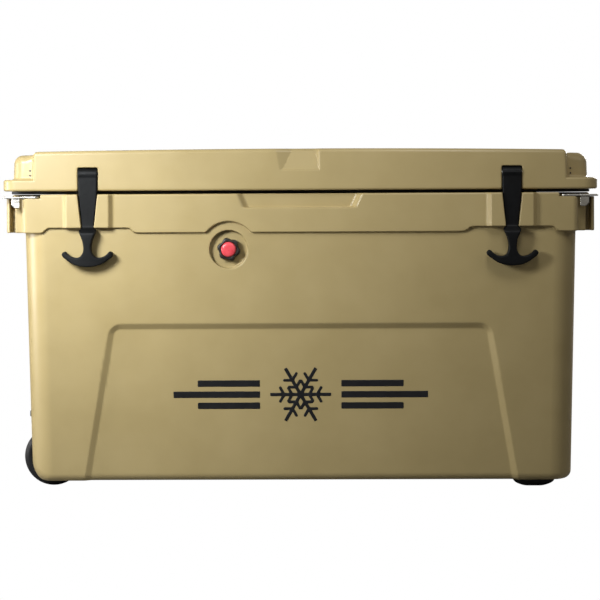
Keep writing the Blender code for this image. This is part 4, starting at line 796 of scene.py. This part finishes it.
wheelSizes = {"radius": 45.0, "rimRadius": 31.0, "half": 19.0, "boss": 12.2, "bore": 6.2, "web": 4.0,
              "ribs": 10, "ribThickness": 3.0, "ribWidth": 29.0, "grooveDepth": 1.6}
w = wheelSizes
inner, groove = w["rimRadius"], w["radius"] - w["grooveDepth"]
tyreSide = [(groove, 3.0), (groove, 4.8), (w["radius"], 5.5), (w["radius"], w["half"] - 9),
            (w["radius"] - 1.2, w["half"] - 4.5), (w["radius"] - 7, w["half"]),
            (inner + 4, w["half"]), (inner + 0.3, w["half"] - 1)]
hubSide = [(inner, w["half"] - 3), (inner - 3.2, w["half"] - 3), (inner - 4, w["web"]),
           (w["boss"] - 0.6, w["web"]), (w["boss"], w["half"]), (w["bore"], w["half"])]
middle = [(w["radius"], -2.3), (w["radius"], 2.3)]      # the tread between its two grooves
tyreProfile = [(r, -h) for r, h in tyreSide[::-1]] + middle + tyreSide
hubProfile = [(r, -h) for r, h in hubSide[::-1]] + hubSide


# Geometry Nodes: pieces that repeat
def newTree(name, sizes):
    # A tree with a named input for each size, and its group input and output
    tree = bpy.data.node_groups.new(name, "GeometryNodeTree")
    tree.interface.new_socket("Geometry", in_out="INPUT", socket_type="NodeSocketGeometry")
    for label, value in sizes.items():
        kind = {int: "NodeSocketInt", float: "NodeSocketFloat"}.get(type(value), "NodeSocketVector")
        made = tree.interface.new_socket(label, in_out="INPUT", socket_type=kind)
        made.default_value = value
    tree.interface.new_socket("Geometry", in_out="OUTPUT", socket_type="NodeSocketGeometry")
    return tree, tree.nodes.new("NodeGroupInput").outputs


def closeTree(tree, geometry, look):
    real = addNode(tree, "GeometryNodeRealizeInstances", None, {"Geometry": geometry})
    dressed = addNode(tree, "GeometryNodeSetMaterial", None,
                      {"Geometry": real.outputs[0], "Material": look})
    tree.links.new(dressed.outputs[0], tree.nodes.new("NodeGroupOutput").inputs[0])


def grown(name, tree, points, sizes, look, bevel=0.0):
    # A plain mesh of what a tree makes on a set of points, with its inputs set by identifier
    mesh = bpy.data.meshes.new(name + "_places")
    mesh.from_pydata([tuple(np.array(p) * mm) for p in points], [], [])
    mesh.materials.append(look)
    source = newObject(name + "_places", mesh)
    change = source.modifiers.new("grow", "NODES")
    change.node_group = tree
    for item in tree.interface.items_tree:
        if item.in_out == "INPUT" and item.name in sizes:
            change[item.identifier] = sizes[item.name]
    if bevel:
        edges = source.modifiers.new("edges", "BEVEL")
        edges.width, edges.segments, edges.limit_method = bevel * mm, 2, "ANGLE"
        edges.angle_limit = radians(35)
    made = plainMesh(source, name)
    made.data.shade_smooth()
    made.data.set_sharp_from_angle(angle=radians(35))
    return made


screwSizes = {"head": 5.0, "top": 3.4, "height": 2.5, "socket": 2.2, "socketDepth": 3.0,
              "bevel": 0.25}


def screwTree(look):
    # Button heads with a hexagon socket, one on each point, turned by one rotation
    s = screwSizes
    tree, given = newTree("socket button screws", {
        "Head Radius": s["head"] * mm, "Top Radius": s["top"] * mm, "Head Height": s["height"] * mm,
        "Socket": s["socket"] * mm, "Socket Depth": s["socketDepth"] * mm, "Turn": (0.0, 0.0, 0.0)})
    head = addNode(tree, "GeometryNodeMeshCone", None,
                   {"Vertices": 40, "Radius Top": given["Top Radius"],
                    "Radius Bottom": given["Head Radius"], "Depth": given["Head Height"]})
    socket = addNode(tree, "GeometryNodeMeshCylinder", None,
                     {"Vertices": 6, "Radius": given["Socket"], "Depth": given["Socket Depth"]})
    raised = addNode(tree, "GeometryNodeTransform", None,
                     {"Geometry": socket.outputs["Mesh"], "Translation": (0, 0, 2.4 * mm)})
    cut = addNode(tree, "GeometryNodeMeshBoolean", {"operation": "DIFFERENCE"})
    tree.links.new(head.outputs["Mesh"], cut.inputs["Mesh 1"])
    tree.links.new(raised.outputs[0], cut.inputs["Mesh 2"])
    placed = addNode(tree, "GeometryNodeInstanceOnPoints", None,
                     {"Points": given["Geometry"], "Instance": cut.outputs[0]})
    angle = addNode(tree, "FunctionNodeEulerToRotation", None, {0: given["Turn"]})
    tree.links.new(angle.outputs[0], placed.inputs["Rotation"])
    closeTree(tree, placed.outputs[0], look)
    return tree


def ringTree(look):
    # Ribs set round an axis, each a box that stands off the axis by a radius
    tree, given = newTree("ribs round an axis", {
        "Count": 10, "Radius": 0.02, "Rib": (0.01, 0.003, 0.02), "Turn": (0.0, 0.0, 0.0)})
    circle = addNode(tree, "GeometryNodeMeshCircle", None,
                     {"Vertices": given["Count"], "Radius": given["Radius"]})
    rib = addNode(tree, "GeometryNodeMeshCube", None, {"Size": given["Rib"]})
    place = addNode(tree, "GeometryNodeInputPosition")
    facing = addNode(tree, "FunctionNodeAlignRotationToVector", {"axis": "X"},
                     {"Vector": place.outputs[0]})
    ribs = addNode(tree, "GeometryNodeInstanceOnPoints", None,
                   {"Points": circle.outputs[0], "Instance": rib.outputs["Mesh"],
                    "Rotation": facing.outputs[0]})
    angle = addNode(tree, "FunctionNodeEulerToRotation", None, {0: given["Turn"]})
    rings = addNode(tree, "GeometryNodeInstanceOnPoints", None,
                    {"Points": given["Geometry"], "Instance": ribs.outputs[0],
                     "Rotation": angle.outputs[0]})
    closeTree(tree, rings.outputs[0], look)
    return tree


steelScrews, zincScrews = screwTree(stainlessSteel), screwTree(zincSteel)


def screwSet(name, nodes, turn, lift, tree, look, body):
    # Heads for a group of CAD screws, each at its own head's place
    places = []
    for node in nodes:
        low, high = boxOf(node)
        middle = (low + high) / 2
        axis = int(np.argmax(high - low))
        middle[axis] = (high if lift > 0 else low)[axis] - lift * screwSizes["height"]
        places.append(middle)
    made = grown(name, tree, places, {"Turn": turn}, look, screwSizes["bevel"])
    return finishPiece(made, body, nodes)


plateScrews = [f"plate_screw_{word}_{i}" for word in ("left", "right") for i in (1, 2)]
screwSet("plate_screw_heads", plateScrews, (0.0, 0.0, 0.0), 1, steelScrews, stainlessSteel,
         "base")
for part in ("base", "lid"):
    names = [f"hinge_screw_{part}_{word}_{i}" for word in ("left", "right") for i in (1, 2)]
    screwSet(f"hinge_{part}_screw_heads", names, (-pi / 2, 0.0, 0.0), 1, steelScrews, stainlessSteel,
             part)
screwSet("foot_screw_heads", ["foot_screw_front", "foot_screw_rear"], (pi, 0.0, 0.0), -1, zincScrews,
         zincSteel, "base")
print("screws made")

capSizes = {"radius": 9.9, "wall": 1.2, "shoulder": 8.6, "shoulderAt": 2.6, "dome": 3.3}
c = capSizes
capProfile = filleted([(0.0, 0.0), (c["radius"], 0.0), (c["radius"], c["wall"]),
                       (c["shoulder"], c["shoulderAt"]), (4.0, c["dome"] - 0.1), (0.0, c["dome"])],
                      0.5)
ribTree = ringTree(blackNylon)
ribLength = inner - 3.4 - w["boss"]
for word, end in (("front", -1), ("rear", 1)):
    at = np.array([wheelX, end * wheelY, wheelZ])
    turnedPiece(f"wheel_{word}_tyre", filleted(tyreProfile, 2.2), at, "y", tyreRubber,
                f"wheel_{word}", (f"tyre_{word}",), 96)
    turnedPiece(f"wheel_{word}_hub", filleted(hubProfile, 0.8), at, "y", blackNylon,
                f"wheel_{word}", (f"wheel_hub_{word}",), 72)
    ribs = grown(f"wheel_{word}_ribs", ribTree, [at],
                 {"Count": w["ribs"], "Radius": (w["boss"] + ribLength / 2 - 0.3) * mm,
                  "Rib": (ribLength * mm, w["ribThickness"] * mm, w["ribWidth"] * mm),
                  "Turn": (pi / 2, 0.0, 0.0)}, blackNylon, 0.5)
    finishPiece(ribs, f"wheel_{word}")
    capLow, capHigh = boxOf(f"axle_cap_{word}")
    face = (capLow if end > 0 else capHigh)[1]
    turnedPiece(f"axle_{word}_cap", [(r, end * h) for r, h in capProfile if r >= 0],
                np.array([wheelX, face, wheelZ]), "y", zincSteel, "base",
                (f"axle_cap_{word}",), 48)
print("wheels made")


# Feet: domed pads of tyre rubber
footSizes = {"half": 31.5, "depth": 30.0, "top": 10.7, "corner": 9.0, "inset": 15.5,
             "insetPower": 2.2, "hole": 6.0, "holeTop": 5.4}


def footField(x, y, z):
    f = footSizes
    drop = np.clip((f["top"] - z) / f["top"], 0, 1)
    inset = f["inset"] * drop ** f["insetPower"]
    plan = planDistance(x, y, f["half"] - inset, f["depth"] - inset * 0.4, f["corner"])
    pad = roundMax(roundMax(plan, -z, 1.2), z - f["top"], 0.8)
    return carve(pad, np.maximum(np.hypot(x, y) - f["hole"], z - f["holeTop"]), 0.6)


footGrid = (gridLines(-35, 35, 1.6), gridLines(-33, 33, 2.0), gridLines(-2, 13, 0.8))
footPoints, footFaces = skin(footField, *footGrid)
footPoints, footNormals = settle(footField, footPoints, 4, 0.5)
for word, end in (("front", -1), ("rear", 1)):
    meshObject(f"foot_{word}_pad", footPoints + [footAt[0], end * abs(footAt[1]), 0], footFaces,
               tyreRubber, "base", footNormals, (f"foot_{word}",))
print("feet made")


# Vent: lobed nylon knob with a red button sunk in it
ventLow, ventHigh = boxOf("vent_body")
ventZ = bodySizes["ventZ"]
knobSizes = {"radius": 18.0, "lobes": 6, "lobeDepth": 2.8, "lobeTurn": 14.0, "lobeRound": 1.15,
             "front": ventLow[1], "back": ventLow[1] + 20.0, "bore": 11.9, "base": 4.2,
             "stem": 8.5, "stemBore": 2.8}


def knobField(x, y, z):
    k = knobSizes
    u, v = x - ventX, z - ventZ
    r, angle = np.hypot(u, v), np.arctan2(v, u) + radians(k["lobeTurn"])
    wave = k["lobeDepth"] * (0.5 - 0.5 * np.cos(k["lobes"] * angle)) ** k["lobeRound"]
    flare = 0.06 * np.maximum(y - k["front"] - 6, 0)
    knob = roundMax((r - k["radius"] + wave - flare + 0.4) * 0.9,
                    np.maximum(k["front"] - y, y - k["back"]), 2.6)
    knob = carve(knob, np.maximum(r - k["bore"], y - k["back"] + k["base"]), 0.9)
    stem = np.maximum(r - k["stem"], np.maximum(y - ventHigh[1] + 0.3, k["back"] - 4 - y))
    knob = roundMin(knob, stem, 0.8)
    return carve(knob, r - k["stemBore"], 0.3)


knobGrid = (gridLines(ventX - 21, ventX + 21, 0.8),
            gridLines(ventLow[1] - 2, ventHigh[1] + 3, 2.5, [(ventLow[1], ventLow[1] + 21, 0.8)]),
            gridLines(ventZ - 21, ventZ + 21, 0.8))
moulded("vent_knob", knobField, knobGrid, blackNylon, "base", ("vent_body",))

# The button's spring: a coil of steel wire at one fixed length, which does not squash as the button
# goes in
springLow, springHigh = boxOf("vent_spring")
springSizes = {"turns": 3.0, "wire": 0.6, "keep": 0.60}


def springTree(look):
    tree, given = newTree("coil spring", {"Turns": 3.0, "Radius": 0.005, "Height": 0.008,
                                          "Wire": 0.0006})
    coil = addNode(tree, "GeometryNodeCurveSpiral", None,
                   {"Resolution": 20, "Rotations": given["Turns"], "Height": given["Height"],
                    "Start Radius": given["Radius"], "End Radius": given["Radius"]})
    wire = addNode(tree, "GeometryNodeCurvePrimitiveCircle", None,
                   {"Resolution": 8, "Radius": given["Wire"]})
    swept = addNode(tree, "GeometryNodeCurveToMesh", None,
                    {"Curve": coil.outputs[0], "Profile Curve": wire.outputs[0],
                     "Fill Caps": True})
    turned = addNode(tree, "GeometryNodeTransform", None,
                     {"Geometry": swept.outputs[0], "Rotation": (pi / 2, 0, 0)})
    placed = addNode(tree, "GeometryNodeInstanceOnPoints", None,
                     {"Points": given["Geometry"], "Instance": turned.outputs[0]})
    closeTree(tree, placed.outputs[0], look)
    return tree


springEnd = springSizes["wire"] * 1.2       # the wire's half thickness and a little air
springReach = (springHigh[1] - springLow[1]) / 2 - springEnd
springRadius = (springHigh[0] - springLow[0]) / 2 - springSizes["wire"]
spring = grown("vent_coil_spring", springTree(stainlessSteel),
               [(ventX, springHigh[1] - springEnd, ventZ)],
               {"Turns": springSizes["turns"], "Radius": springRadius * mm,
                "Height": 2 * springReach * mm, "Wire": springSizes["wire"] * mm},
               stainlessSteel)
finishPiece(spring, "base", ("vent_spring",))
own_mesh(spring)

# The button: a domed cap, with a stem that runs back through the spring
buttonLow, buttonHigh = boxOf("vent_button")
buttonSizes = {"stem": 2.4, "radius": 11.4, "air": 0.35, "round": 1.2}
stem, wide, capBack = buttonSizes["stem"], buttonSizes["radius"], springLow[1] - buttonSizes["air"]
buttonProfile = [(0.0, buttonHigh[1]), (stem, buttonHigh[1]), (stem, capBack), (wide, capBack),
                 (wide, buttonLow[1] + 3.2), (wide - 1.8, buttonLow[1] + 1.2),
                 (6.0, buttonLow[1] + 0.35), (0.0, buttonLow[1])]
turnedPiece("vent_button_cap", filleted(buttonProfile, buttonSizes["round"]),
            np.array([ventX, 0, ventZ]), "y", redAcetal, "vent_button",
            ("vent_button",))
print("vent made")


# Drain: flanged bushing with a finned cap on it
drainLow, drainHigh = boxOf("drain_plug")
drainSizes = {"radius": 18.4, "knurls": 18, "knurlDepth": 0.8, "capOut": 11.5, "stub": 10.1,
              "finHalf": 13.0, "finThick": 5.2, "finOut": 4.0, "seat": boxOf("drain_bushing")[0][0]}


def drainCapField(x, y, z):
    d = drainSizes
    u, v = y - drainY, z - drainZ
    r, angle = np.hypot(u, v), np.arctan2(v, u)
    outer, inside = drainLow[0] + d["capOut"], d["seat"] - 1.8
    wave = d["knurlDepth"] * (0.5 - 0.5 * np.cos(d["knurls"] * angle))
    cap = roundMax((r - d["radius"] + wave) * 0.9, np.maximum(outer - x, x - inside), 2.0)
    stub = roundMax(r - d["stub"], np.maximum(inside - 4 - x, x - drainHigh[0]), 1.0)
    fin = roundMax(np.abs(v) - d["finThick"], np.abs(u) - d["finHalf"], 2.0)
    fin = roundMax(fin, np.maximum(drainLow[0] + d["finOut"] - x, x - outer - 4), 2.0)
    return roundMin(roundMin(cap, stub, 0.3), fin, 2.0)


drainGrid = (gridLines(drainLow[0] - 2, drainHigh[0] + 2, 2.4,
                       [(drainLow[0] - 2, drainSizes["seat"] + 0.7, 0.8)]),
             gridLines(drainY - 21, drainY + 21, 0.8), gridLines(drainZ - 21, drainZ + 21, 0.8))
moulded("drain_cap", drainCapField, drainGrid, blackNylon, "drain_plug",
        ("drain_plug",))


# Hinges: rounded nylon leaves with knuckles round a steel pin
hingeSizes = {"corner": 7.0, "edge": 1.3, "halfThick": 2.0, "leafFrom": 7.5, "knuckle": 6.0,
              "pin": 2.7, "gap": 0.3}


def hingeShape(low, high, pinAt, hand):
    # The field of one leaf. The base's has the two outer knuckles, and the lid's the middle one.
    h = hingeSizes
    half, third, back = (high[0] - low[0]) / 2, (high[0] - low[0]) / 6, low[1]
    near, far = pinAt[2] + hand * h["leafFrom"], (low if hand < 0 else high)[2]
    midZ, halfZ = (near + far) / 2, abs(far - near) / 2

    def hingeField(x, y, z):
        u = x - pinAt[0]
        away = np.abs(y - back - h["halfThick"])
        leaf = planDistance(u, z - midZ, half, halfZ, h["corner"])
        leaf = roundMax(leaf, away - h["halfThick"], h["edge"])
        if hand < 0:
            span = np.maximum(third + h["gap"] - np.abs(u), np.abs(u) - half)
        else:
            span = np.abs(u) - third + h["gap"]
        fromPin = np.hypot(y - pinAt[1], z - pinAt[2])
        knuckle = roundMax(fromPin - h["knuckle"], span, 0.6)
        web = np.maximum(np.maximum(span, away - h["halfThick"] + 0.1),
                         np.abs(z - (pinAt[2] + near) / 2) - abs(near - pinAt[2]) / 2 - 1)
        made = roundMin(roundMin(leaf, web, 0.4), knuckle, 1.0)
        return carve(np.maximum(made, back - y), fromPin - h["pin"], 0.3)

    return hingeField


for part, hand in (("base", -1), ("lid", 1)):
    for word in ("left", "right"):
        node = f"hinge_{part}_leaf_{word}"
        low, high = boxOf(node)
        grid = (gridLines(low[0] - 2, high[0] + 2, 1.3), gridLines(low[1] - 2, high[1] + 2, 0.8),
                gridLines(low[2] - 2, high[2] + 2, 1.2))
        moulded(f"hinge_{part}_{word}", hingeShape(low, high, centreOf(f"hinge_pin_{word}"), hand),
                grid, blackNylon, part, (node,), most=24000)


# Lid seal: a hollow bulb of silicone swept round the mouth
sealSizes = {"inset": 5.0, "corner": 38.0, "bulb": 4.8, "squeeze": 0.45}


def sealTree(look):
    tree, given = newTree("bulb seal", {"Length": 0.77, "Width": 0.39, "Corner": 0.04,
                                        "Bulb": 0.0045, "Bulb Scale": (1.0, 1.0, 1.0)})
    path = addNode(tree, "GeometryNodeCurvePrimitiveQuadrilateral", None,
                   {"Width": given["Length"], "Height": given["Width"]})
    path = addNode(tree, "GeometryNodeFilletCurve", {"mode": "POLY"},
                   {"Curve": path.outputs[0], "Radius": given["Corner"], "Count": 12})
    bulb = addNode(tree, "GeometryNodeCurvePrimitiveCircle", None,
                   {"Resolution": 16, "Radius": given["Bulb"]})
    flat = addNode(tree, "GeometryNodeTransform", None,
                   {"Geometry": bulb.outputs[0], "Scale": given["Bulb Scale"]})
    swept = addNode(tree, "GeometryNodeCurveToMesh", None,
                    {"Curve": path.outputs[0], "Profile Curve": flat.outputs[0]})
    placed = addNode(tree, "GeometryNodeInstanceOnPoints", None,
                     {"Points": given["Geometry"], "Instance": swept.outputs[0]})
    closeTree(tree, placed.outputs[0], look)
    return tree


sealLow, sealHigh = boxOf("lid_seal")
sealLength, sealWidth = ((sealHigh - sealLow)[:2] - 2 * sealSizes["inset"]) * mm
seal = grown("lid_bulb_seal", sealTree(sealSilicone), [(sealLow + sealHigh) / 2],
             {"Length": sealLength, "Width": sealWidth, "Corner": sealSizes["corner"] * mm,
              "Bulb": sealSizes["bulb"] * mm, "Bulb Scale": (1.0, sealSizes["squeeze"], 1.0)},
             sealSilicone)
finishPiece(seal, "lid", ("lid_seal",))
print("seal made")


# Small moulding vent holes in the lid's corner notches: the shade inside each hole is painted as a
# short dark pin set in the wall
holeShadePins = {"radius": 1.3, "depth": 2.0, "x": 412.5, "y": -211.4, "heights": (478.5, 486.0)}


def holeShadePinTree(look):
    tree, given = newTree("dark pins for hole shade", {"Radius": holeShadePins["radius"] * mm,
                                        "Depth": holeShadePins["depth"] * mm})
    pin = addNode(tree, "GeometryNodeMeshCylinder", None,
                  {"Vertices": 20, "Radius": given["Radius"], "Depth": given["Depth"]})
    turned = addNode(tree, "GeometryNodeTransform", None,
                     {"Geometry": pin.outputs["Mesh"], "Rotation": (pi / 2, 0, 0)})
    placed = addNode(tree, "GeometryNodeInstanceOnPoints", None,
                     {"Points": given["Geometry"], "Instance": turned.outputs[0]})
    closeTree(tree, placed.outputs[0], look)
    return tree


holeShadePinPlaces = [(side * holeShadePins["x"], holeShadePins["y"], z) for side in (-1, 1)
             for z in holeShadePins["heights"]]
# Painted shade: black nylon pins stand where the vent holes show only shade
pins = grown("lid_vent_hole_shade_pins", holeShadePinTree(blackNylon), holeShadePinPlaces, {}, blackNylon)
finishPiece(pins, "lid")


# CAD nodes that keep their shape and get a real finish
keptLooks = [
    (zincSteel, ["axle"]),
    (stainlessSteel, ["hinge_pin_left", "hinge_pin_right", "latch_pin_left", "latch_pin_right"]),
    (blackNylon, ["vent_nut", "drain_bushing"]),
    (latchRubber, ["vent_gasket", "drain_gasket", "drain_plug_seal"]),
    (tanPolyethylene, ["base_fill_plug_left", "base_fill_plug_right", "lid_fill_plug_left",
                       "lid_fill_plug_right"]),
]
for look, nodes in keptLooks:
    for name in nodes:
        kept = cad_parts[name].data.materials
        kept.clear()
        kept.append(look)
print("kept nodes dressed")


# Floor, light and camera
studio = {
    "worldLight": 0.07, "worldGloss": 0.38,
    "lights": {     # place, aim, size, watts, tone, spread in degrees
        "key": ((-0.64, -0.88, 0.72), (-0.34, -0.23, 0.40), 0.28, 4.0, (0.95, 0.985, 1.0), 104),
        "second": ((0.28, -0.68, 0.94), (0.14, -0.23, 0.49), 0.25, 0.60, (0.97, 0.985, 1.0), 110),
        "side": ((-1.45, -0.34, 0.38), (0.0, -0.28, 0.32), 0.36, 8.5, (1.0, 0.99, 0.97), 180),
        "right": ((1.15, -0.88, 1.02), (0.45, -0.20, 0.50), 0.30, 0.60, (1.0, 0.99, 0.98), 140),
        "back": ((1.7, 2.3, 1.3), (0.2, 0.1, 0.25), 1.0, 70.0, (1.0, 0.99, 0.98), 180),
    },
    "worldTone": (1, 0.96, 0.89, 1), "floorPaint": "#8c8c8a", "floorReach": 12.0,
    "cameraAt": (0.045, -3.205, 0.447), "lens": 117.6, "shiftY": -0.12,
    "yaw": 0.86, "pitch": -0.965, "roll": -0.28,
}


def shadeStage():
    # A white world and floor for the camera, and a dimmer one for light on the chest
    world = bpy.data.worlds.new("pale studio")
    bpy.context.scene.world = world
    world.use_nodes = True
    tree = world.node_tree
    tree.nodes.clear()
    rays = addNode(tree, "ShaderNodeLightPath").outputs
    dim, gloss, bright = [
        addNode(tree, "ShaderNodeBackground", None, {"Color": tone, "Strength": strength})
        for tone, strength in ((studio["worldTone"], studio["worldLight"]),
                               (studio["worldTone"], studio["worldGloss"]), ((1, 1, 1, 1), 1.0))]
    mixed = addNode(tree, "ShaderNodeMixShader", None,
                    {0: rays["Is Glossy Ray"], 1: dim.outputs[0], 2: gloss.outputs[0]})
    mixed = addNode(tree, "ShaderNodeMixShader", None,
                    {0: rays["Is Camera Ray"], 1: mixed.outputs[0], 2: bright.outputs[0]})
    addNode(tree, "ShaderNodeOutputWorld", None, {"Surface": mixed.outputs[0]})

    floor = bpy.data.materials.new("matt white floor")
    floor.use_nodes = True
    tree = floor.node_tree
    tree.nodes.clear()
    rays = addNode(tree, "ShaderNodeLightPath").outputs
    paint = addNode(tree, "ShaderNodeBsdfDiffuse", None, {"Color": colour(studio["floorPaint"])})
    glow = addNode(tree, "ShaderNodeEmission", None, {"Color": (1, 1, 1, 1), "Strength": 1.0})
    mixed = addNode(tree, "ShaderNodeMixShader", None,
                    {0: rays["Is Camera Ray"], 1: paint.outputs[0], 2: glow.outputs[0]})
    addNode(tree, "ShaderNodeOutputMaterial", None, {"Surface": mixed.outputs[0]})
    mesh = bpy.data.meshes.new("floor")
    r = studio["floorReach"]
    mesh.from_pydata([(-r, -r, 0), (r, -r, 0), (r, r, 0), (-r, r, 0)], [], [(0, 1, 2, 3)])
    mesh.materials.append(floor)
    newObject("floor", mesh)


def areaLight(name, at, aim, size, power, tone, beam):
    light = bpy.data.lights.new(name, "AREA")
    light.shape, light.size, light.energy, light.color = "SQUARE", size, power, tone
    light.spread = radians(beam)
    made = newObject(name, light)
    made.location = at
    made.visible_camera = False
    made.rotation_euler = (Vector(aim) - Vector(at)).to_track_quat("-Z", "Y").to_euler()


shadeStage()
for name, setting in studio["lights"].items():
    areaLight(name, *setting)
lens = bpy.data.cameras.new("camera")
lens.lens, lens.sensor_width, lens.shift_y = studio["lens"], 36, studio["shiftY"]
lens.clip_start, lens.clip_end = 0.1, 60
camera = newObject("camera", lens)
camera.location = studio["cameraAt"]
yaw = Matrix.Rotation(radians(studio["yaw"]), 3, "Z")
pitch = Matrix.Rotation(radians(90 + studio["pitch"]), 3, "X")
roll = Matrix.Rotation(radians(studio["roll"]), 3, "Z")
camera.rotation_euler = (yaw @ pitch @ roll).to_euler()
bpy.context.scene.camera = camera
bpy.context.scene.view_settings.view_transform = "Standard"

print("scene done")
